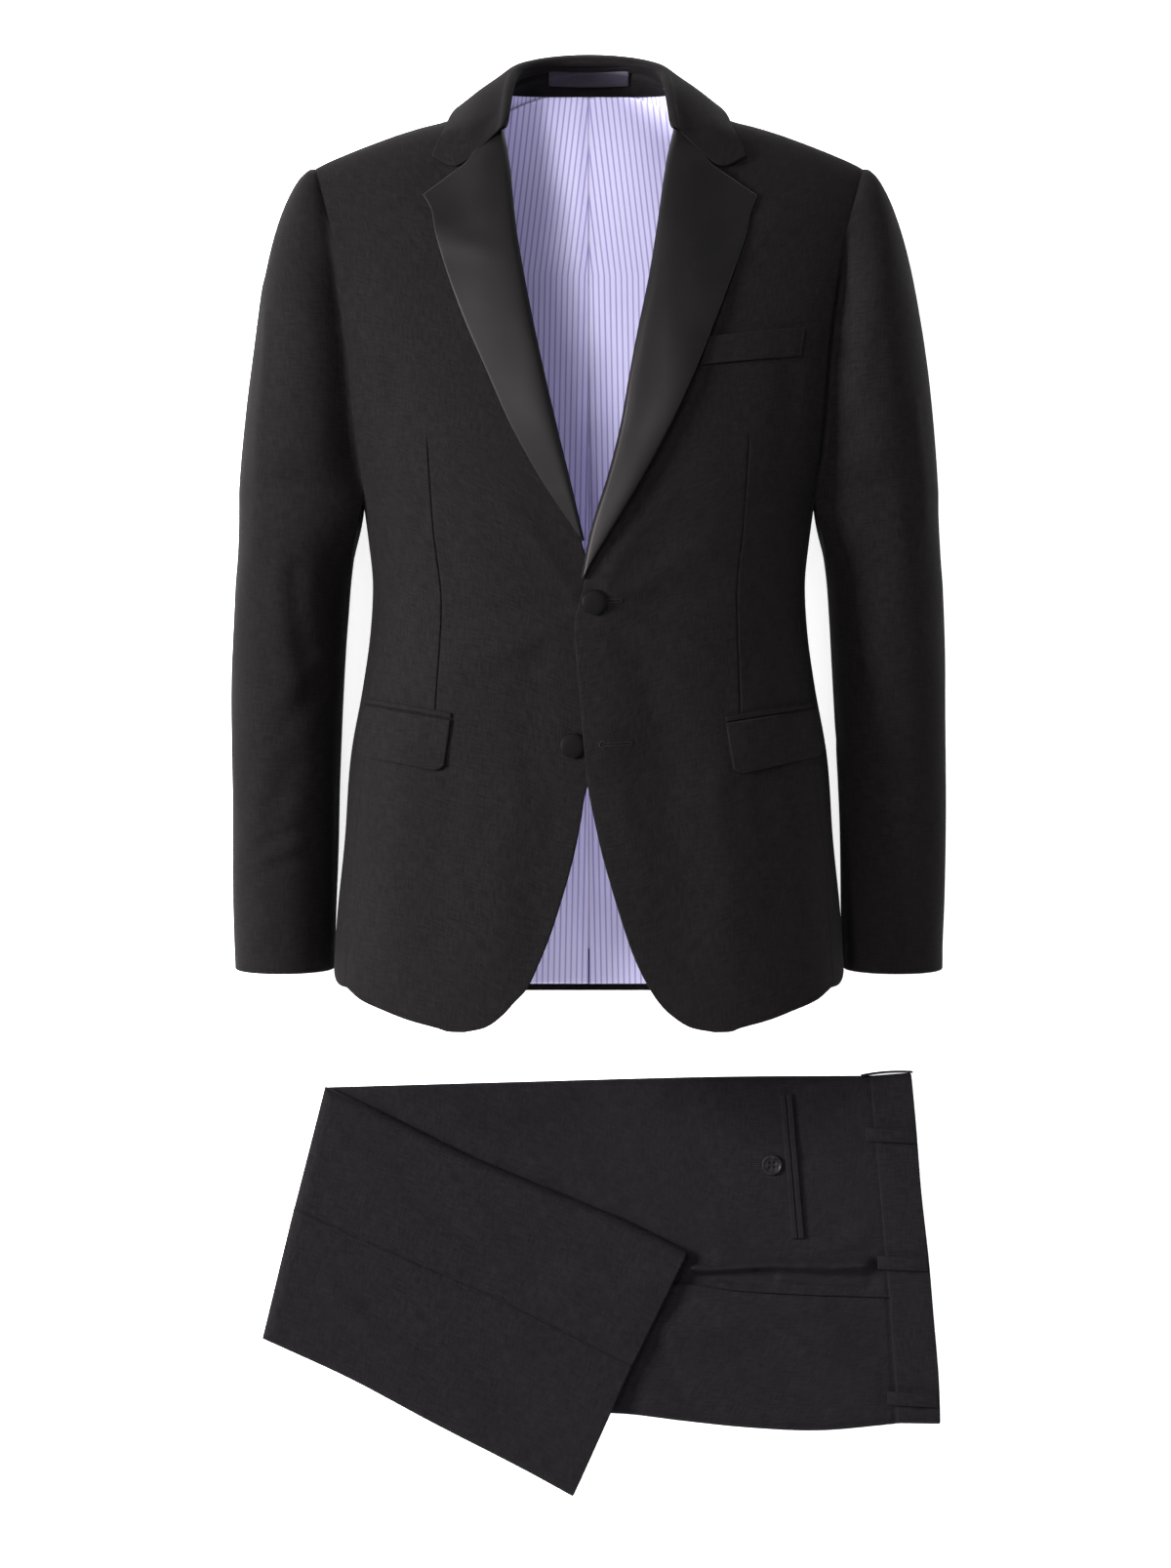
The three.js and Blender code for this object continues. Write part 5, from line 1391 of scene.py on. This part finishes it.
def make_pocket_button():
    """A rim round a dished face, with four holes and a cross of thread."""
    r, h = POCKET_BUTTON_RADIUS, POCKET_BUTTON_HEIGHT
    x0, y0 = POCKET_BUTTON
    z0 = float(seat_height(x0, y0)) + BUTTON_REST
    profile = [(r * out, h * up) for out, up in POCKET_BUTTON_PROFILE]
    profile = [(BUTTON_AXIS, 0)] + profile + [(BUTTON_AXIS, profile[-1][1])]
    holes = [(a * HOLE_OFFSET, b * HOLE_OFFSET) for a in (-1, 1) for b in (-1, 1)]

    def hollows(x, y):
        return -HOLE_DEPTH * sum(bell((x - a) ** 2 + (y - b) ** 2, HOLE_RADIUS ** 2) for a, b in holes)

    disc = lathe("resin_pocket_button", profile, 72, resin, (x0, y0, z0), hollows)
    t = np.linspace(0, 1, 12)
    stitches = []
    for (a, b), (c, d), shift in ((holes[0], holes[3], 0.0), (holes[1], holes[2], STITCH_ASIDE)):
        for aside in (-STITCH_ASIDE, STITCH_ASIDE):
            x = mix(a, c, t) + aside
            y = mix(b, d, t) - aside
            z = z0 + h * 0.6 + shift + 0.35 * np.sin(np.pi * t)
            path = np.stack([x0 + x, y0 + y, z], axis=-1)
            stitches.append(tube("stitch", path, STITCH_RADIUS, thread))
    dress(join("thread_pocket_button", stitches), "button")
    dress(disc, "button", "pocket_button")


def make_buttonhole(name, row, place, half_width=1.25, thickness=0.5):
    """Thread worked round a slit, with a keyhole eye. place(x, y) gives the cloth below."""
    eye_x, eye_y, end_x, end_y, eye = row
    forward = np.array([end_x - eye_x, end_y - eye_y])
    length = np.linalg.norm(forward)
    forward /= length
    sideways = np.array([-forward[1], forward[0]])
    shoulder = np.arcsin(min(half_width / eye, 0.95))
    turn = np.linspace(shoulder, 2 * np.pi - shoulder, 22)
    eye_ring = [(eye * np.cos(a), eye * np.sin(a)) for a in turn]
    far_turn = np.linspace(-np.pi / 2, np.pi / 2, 9)
    start = eye * np.cos(shoulder)
    lower = [(d, -half_width) for d in np.linspace(start, length, 20)[1:]]
    bar = [(length + half_width * 0.8 * np.cos(a), half_width * np.sin(a)) for a in far_turn]
    upper = [(d, half_width) for d in np.linspace(length, start, 20)[1:-1]]
    path = []
    for d, w in eye_ring + lower + bar + upper:
        x, y = np.array([eye_x, eye_y]) + d * forward + w * sideways
        path.append(place(x, y) + [0, 0, 0.25])
    dress(tube(name, np.array(path), thickness, thread, closed=True), "wool")


def make_front_buttonholes():
    def place(x, y):
        return on_front("right", x, y)

    for number, row in enumerate(zip(*FRONT_BUTTONHOLES.values()), 1):
        make_buttonhole(f"thread_buttonhole_{number}", row, place)


def make_pocket_buttonhole():
    def place(x, y):
        return np.array([x, y, float(seat_height(x, y))])

    make_buttonhole("thread_pocket_buttonhole", POCKET_BUTTONHOLE, place, half_width=0.95, thickness=0.4)


# Trousers


leg_outseam_y = curve(LEG_OUTSEAM, "x", "y")


def seat_height(x, y):
    """Height of the seat's top, with its folds and crumples."""
    x, y = np.asarray(x, float), np.asarray(y, float)
    crumple = 0.35 * ripple(x, y, 70, 0.8) + 0.25 * ripple(x, y, 38, 2.2)
    to_waist = np.interp(y, WAIST_SEAM["y"], WAIST_SEAM["x"]) - x
    raised = folds(x, y, SEAT_FOLDS) * smooth(2, 22, to_waist)
    groove = 1.8 * bell(to_waist - 0.9, 0.8)
    return SEAT_TOP_Z + np.maximum(1.5 * raised + crumple, -2.6) - groove


def leg_height(x, y):
    """Height of the leg's top. The outseam lies in a narrow groove."""
    off_seam = y - leg_outseam_y(x)
    groove = 1.2 * bell(off_seam, 1.1)
    return LEG_TOP_Z + 2.2 * folds(x, y, LEG_FOLDS) + 0.5 * ripple(x, y, 95, 1.7) - groove


def fold_drop(distance):
    """How far cloth has gone down at a distance from the fold it turns over."""
    return FOLD_DROP * (1 - rounding(1 - np.clip(distance / FOLD_RADIUS, 0, 1), 2))


def folded_panel(upper, lower, height, turned_down, step=2.4):
    """A panel of the folded trousers between two lines, turned down at the named folds."""
    upper_ends, lower_ends = upper["x"][[0, -1]], lower["x"][[0, -1]]
    upper_y, lower_y = curve(upper, "x", "y"), curve(lower, "x", "y")
    u, v = np.meshgrid(crowded(upper_ends[1] - upper_ends[0], step), crowded(150, step))
    if "left" in turned_down:
        u = mix(u ** 1.6, u, 0.4)
    v = mix(0.5 - 0.5 * np.cos(np.pi * v), v, 0.5)
    upper_x, lower_x = mix(*upper_ends, u), mix(*lower_ends, u)
    x = mix(lower_x, upper_x, v)
    y = mix(lower_y(lower_x), upper_y(upper_x), v)
    tall = upper_y(upper_x) - lower_y(lower_x)
    wide = mix(lower_ends[1], upper_ends[1], v) - mix(lower_ends[0], upper_ends[0], v)
    drop = np.zeros(x.shape)
    for name, distance in (("upper", (1 - v) * tall), ("lower", v * tall), ("left", u * wide)):
        if name in turned_down:
            drop = np.maximum(drop, fold_drop(distance))
    return np.stack([x, y, height(x, y) - drop], axis=-1)


def make_trouser_panels():
    back_left = folded_panel(TOP_FOLD, SEAT_LOWER_LINE, seat_height, ("upper",), step=2)
    x, y = back_left[..., 0], back_left[..., 1]
    dart_y = mix(-309.7, -305.6, np.clip((x - 175) / 64, 0, 1))
    dart = bell(y - dart_y, 1.5) * smooth(172, 180, x)
    back_left[..., 2] -= 2 * dart
    sew("cloth_trouser_back_left", "trouser_back_left", back_left, 1, WOOL, [trouser_wool],
        turned=("foot", "end"))
    back_right = folded_panel(CENTRE_SEAM, SEAT_BOTTOM, seat_height, ("lower",))
    sew("cloth_trouser_back_right", "trouser_back_right", back_right, 1, WOOL, [trouser_wool],
        turned=("head", "end"))
    leg_front = folded_panel(LEG_UPPER_EDGE, LEG_OUTSEAM, leg_height, ("upper", "left"))
    sew("cloth_leg_front", "leg_front", leg_front, 1, WOOL, [trouser_wool], turned=("foot", "end"),
        turn=1)
    below_seam = {"x": LEG_OUTSEAM["x"], "y": LEG_OUTSEAM["y"] + PANEL_LAP}
    leg_back = folded_panel(below_seam, LEG_LOWER_EDGE, leg_height, ("lower", "left"))
    sew("cloth_leg_back", "leg_back", leg_back, 1, WOOL, [trouser_wool], turned=("head", "end"),
        turn=1)


def waist_height(v):
    drop = np.maximum(fold_drop((1 - v) * WAISTBAND_LENGTH), fold_drop(v * WAISTBAND_LENGTH))
    return SEAT_TOP_Z + WAISTBAND_RISE - drop


def make_waistband():
    seam_x, edge_x = curve(WAIST_SEAM, "y", "x"), curve(WAIST_EDGE, "y", "x")
    u, v = np.meshgrid(crowded(35, 1.6), crowded(WAISTBAND_LENGTH, 2.4))
    v = mix(0.5 - 0.5 * np.cos(np.pi * v), v, 0.4)
    y = mix(mix(-530.5, -531, u), mix(-242.6, -240, u), v)
    x = mix(seam_x(y) - PANEL_LAP, edge_x(y), u)
    z = waist_height(v) + 0.35 * ripple(x, y, 60, 3.1) * np.sin(np.pi * u)
    z = z - 0.35 * bell(u - 0.93, 0.02)
    sew("cloth_waistband", "waistband", np.stack([x, y, z], axis=-1), 1, WOOL + WAISTBAND_RISE,
        [trouser_wool], turned=("start", "end"))


def make_belt_loop(number, x, y, lean):
    """A belt loop stands off the waistband between its two tacked ends."""
    u, v = np.meshgrid(crowded(BELT_LOOP_LENGTH, 1), crowded(BELT_LOOP_WIDTH, 1))
    along = mix(-0.5, 0.5, u) * BELT_LOOP_LENGTH
    across = mix(-0.5, 0.5, v) * BELT_LOOP_WIDTH
    stitched = bell(v - 0.14, 0.05) + bell(v - 0.86, 0.05)
    rise = 1.0 + 2.6 * np.sin(np.pi * u) ** 0.5 - 0.35 * stitched
    z = SEAT_TOP_Z + WAISTBAND_RISE + WOOL + rise
    grid = np.stack([x + along, y + across + lean * along / 10, z], axis=-1)
    sew(f"cloth_belt_loop_{number}", f"belt_loop_{number}", grid, 1, WOOL, [trouser_wool])


def make_belt_loop_on_fold():
    """The loop that lies over the top fold, seen on its edge."""
    u, v = np.meshgrid(crowded(BELT_LOOP_LENGTH, 1), crowded(12, 1))
    along = mix(-0.5, 0.5, u) * BELT_LOOP_LENGTH
    y = -241.6 + 1.4 * np.sin(np.pi * u) + along * 0.07
    grid = np.stack([247 + along, y, mix(2, 14, v)], axis=-1)
    sew("cloth_belt_loop_4", "belt_loop_4", grid, -1, WOOL * 0.8, [trouser_wool], near=WOOL * 0.8)


def make_pocket_welt(name, shift):
    """One of the two welts of the back pocket, each side of its opening."""
    top, bottom = np.array([163, -257.4]), np.array([173.2, -377])
    u, v = np.meshgrid(crowded(POCKET_WELT_WIDTH, 0.6), crowded(POCKET_WELT_LENGTH, 1.4))
    x = mix(bottom[0], top[0], v) + shift * (0.2 + u * POCKET_WELT_WIDTH)
    y = mix(bottom[1], top[1], v) + shift * u * 0.4
    grid = np.stack([x, y, seat_height(x, y)], axis=-1)
    sew(f"cloth_{name}", name, grid, shift, SATIN, [trouser_wool], near=LAID_GAP + SATIN, turn=1.6)


def stack_of_layers(name, outline, height, count, node, seed):
    """Hidden layers of folded cloth in one piece. Its edge shows each layer turning over."""
    corners = np.array(outline, float)
    following = np.roll(corners, -1, axis=0)
    edge = []
    for a, b in zip(corners, following):
        steps = max(int(np.linalg.norm(b - a) / LAYER_POINT_STEP), 1)
        edge += [mix(a, b, t) for t in np.linspace(0, 1, steps, endpoint=False)]
    edge = np.array(edge)
    for _ in range(3):
        edge = (np.roll(edge, 1, axis=0) + 2 * edge + np.roll(edge, -1, axis=0)) / 4
    forward = np.roll(edge, -1, axis=0) - np.roll(edge, 1, axis=0)
    inward = np.stack([-forward[:, 1], forward[:, 0]], axis=-1)
    inward /= np.linalg.norm(inward, axis=1, keepdims=True)
    ahead = np.roll(edge, -1, axis=0)
    turning = np.sign(np.sum(edge[:, 0] * ahead[:, 1] - edge[:, 1] * ahead[:, 0]))
    inward *= turning
    around = np.arange(len(edge))
    rings = []
    for k in range(count):
        shift = 0.9 * (k % 2) + 0.7 * np.sin(around / 23 + 2.3 * k + seed) + 0.7
        for t in LAYER_RINGS:
            round_in = 1.6 * (1 - rounding(abs(2 * t - 1), 2))
            place = edge + inward * (shift + round_in)[:, None]
            rings.append(np.column_stack([place, np.full(len(edge), height * (k + t) / count)]))
    rings = np.array(rings)
    faces, index = ring_faces(rings.shape[:2])
    bottom, top = index[0, ::-1], index[-1]
    if turning < 0:
        faces, bottom, top = faces[:, ::-1], bottom[::-1], top[::-1]
    points = rings.reshape(-1, 3)
    faces = faces.tolist() + [bottom.tolist(), top.tolist()]
    dress(make_mesh(name, points, faces, [trouser_wool], cloth_map=points[:, :2]), "wool", node)


# The suit

for side in ("left", "right"):
    make_front(side)
    make_side(side)
    make_back(side)
    make_top_sleeve(side)
    make_under_sleeve(side)
    make_lapel(side)
    make_jet(side)
    make_flap(side)
    make_lining(side)
make_collar()
make_breast_welt()
make_neck_facing()
make_hanger_loop()
make_covered_button("satin_button_upper", "button_upper", on_front("right", *UPPER_BUTTON))
make_covered_button("satin_button_lower", "button_lower",
                    on_front("left", -LOWER_BUTTON[0], LOWER_BUTTON[1]))
make_front_buttonholes()
make_trouser_panels()
make_waistband()
for number, row in enumerate(zip(*BELT_LOOPS.values()), 1):
    make_belt_loop(number, *row)
make_belt_loop_on_fold()
make_pocket_welt("pocket_welt_inner", -1)
make_pocket_welt("pocket_welt_outer", 1)
make_pocket_button()
make_pocket_buttonhole()
stack_of_layers("cloth_seat_layers", SEAT_OUTLINE, SEAT_CORE_Z, SEAT_LAYERS, "seat_layers", 0.4)
stack_of_layers("cloth_leg_layers", LEG_OUTLINE, LEG_CORE_Z, LEG_LAYERS, "leg_layers", 1.9)


# Floor, light and camera


def add_floor():
    points = [(x * FLOOR_REACH, y * FLOOR_REACH, 0) for x, y in ((-1, -1), (1, -1), (1, 1), (-1, 1))]
    floor = make_mesh("pale_floor", points, [(0, 1, 2, 3)], [floor_material()])


def add_softbox(name, place, target, size, power):
    """A square lamp in metres and watts, aimed at a place."""
    data = bpy.data.lights.new(name, "AREA")
    data.shape = "SQUARE"
    data.size = size
    data.energy = power
    lamp = bpy.data.objects.new(name, data)
    lamp.location = place
    lamp.rotation_euler = (Vector(target) - Vector(place)).to_track_quat("-Z", "Y").to_euler()
    bpy.context.scene.collection.objects.link(lamp)


def add_studio():
    world = bpy.data.worlds.new("studio")
    bpy.context.scene.world = world
    world.use_nodes = True
    background = world.node_tree.nodes["Background"].inputs
    background[0].default_value = WHITE
    background[1].default_value = WORLD_LIGHT
    add_softbox("key", (-4.1, 0.75, 2.75), (0, 0.1, 0.1), 1.5, 890)
    add_softbox("lapel_gleam", (-1.3, 0.85, 4.9), (0, 0.2, 0.1), 0.6, 78)
    add_softbox("right_rim", (3.6, 0.5, 1.35), (0.1, 0, 0.1), 1.2, 34)
    add_softbox("hem_fill", (0.2, -3.3, 2.4), (0, -0.1, 0.05), 1.4, 85)
    add_softbox("upper_fill", (-1.2, 2.3, 4.4), (0, -0.3, 0), 0.7, 120)
    add_softbox("overhead", (0.1, 0.1, 6.0), (0, 0.1, 0), 2.4, 70)


def add_camera():
    data = bpy.data.cameras.new("camera")
    data.sensor_width = 36
    data.lens = CAMERA_LENS
    data.clip_end = 50
    camera = bpy.data.objects.new("camera", data)
    camera.location = Vector(CAMERA_PLACE) * MM
    bpy.context.scene.collection.objects.link(camera)
    bpy.context.scene.camera = camera


add_floor()
add_studio()
add_camera()
bpy.context.scene.view_settings.view_transform = "Standard"
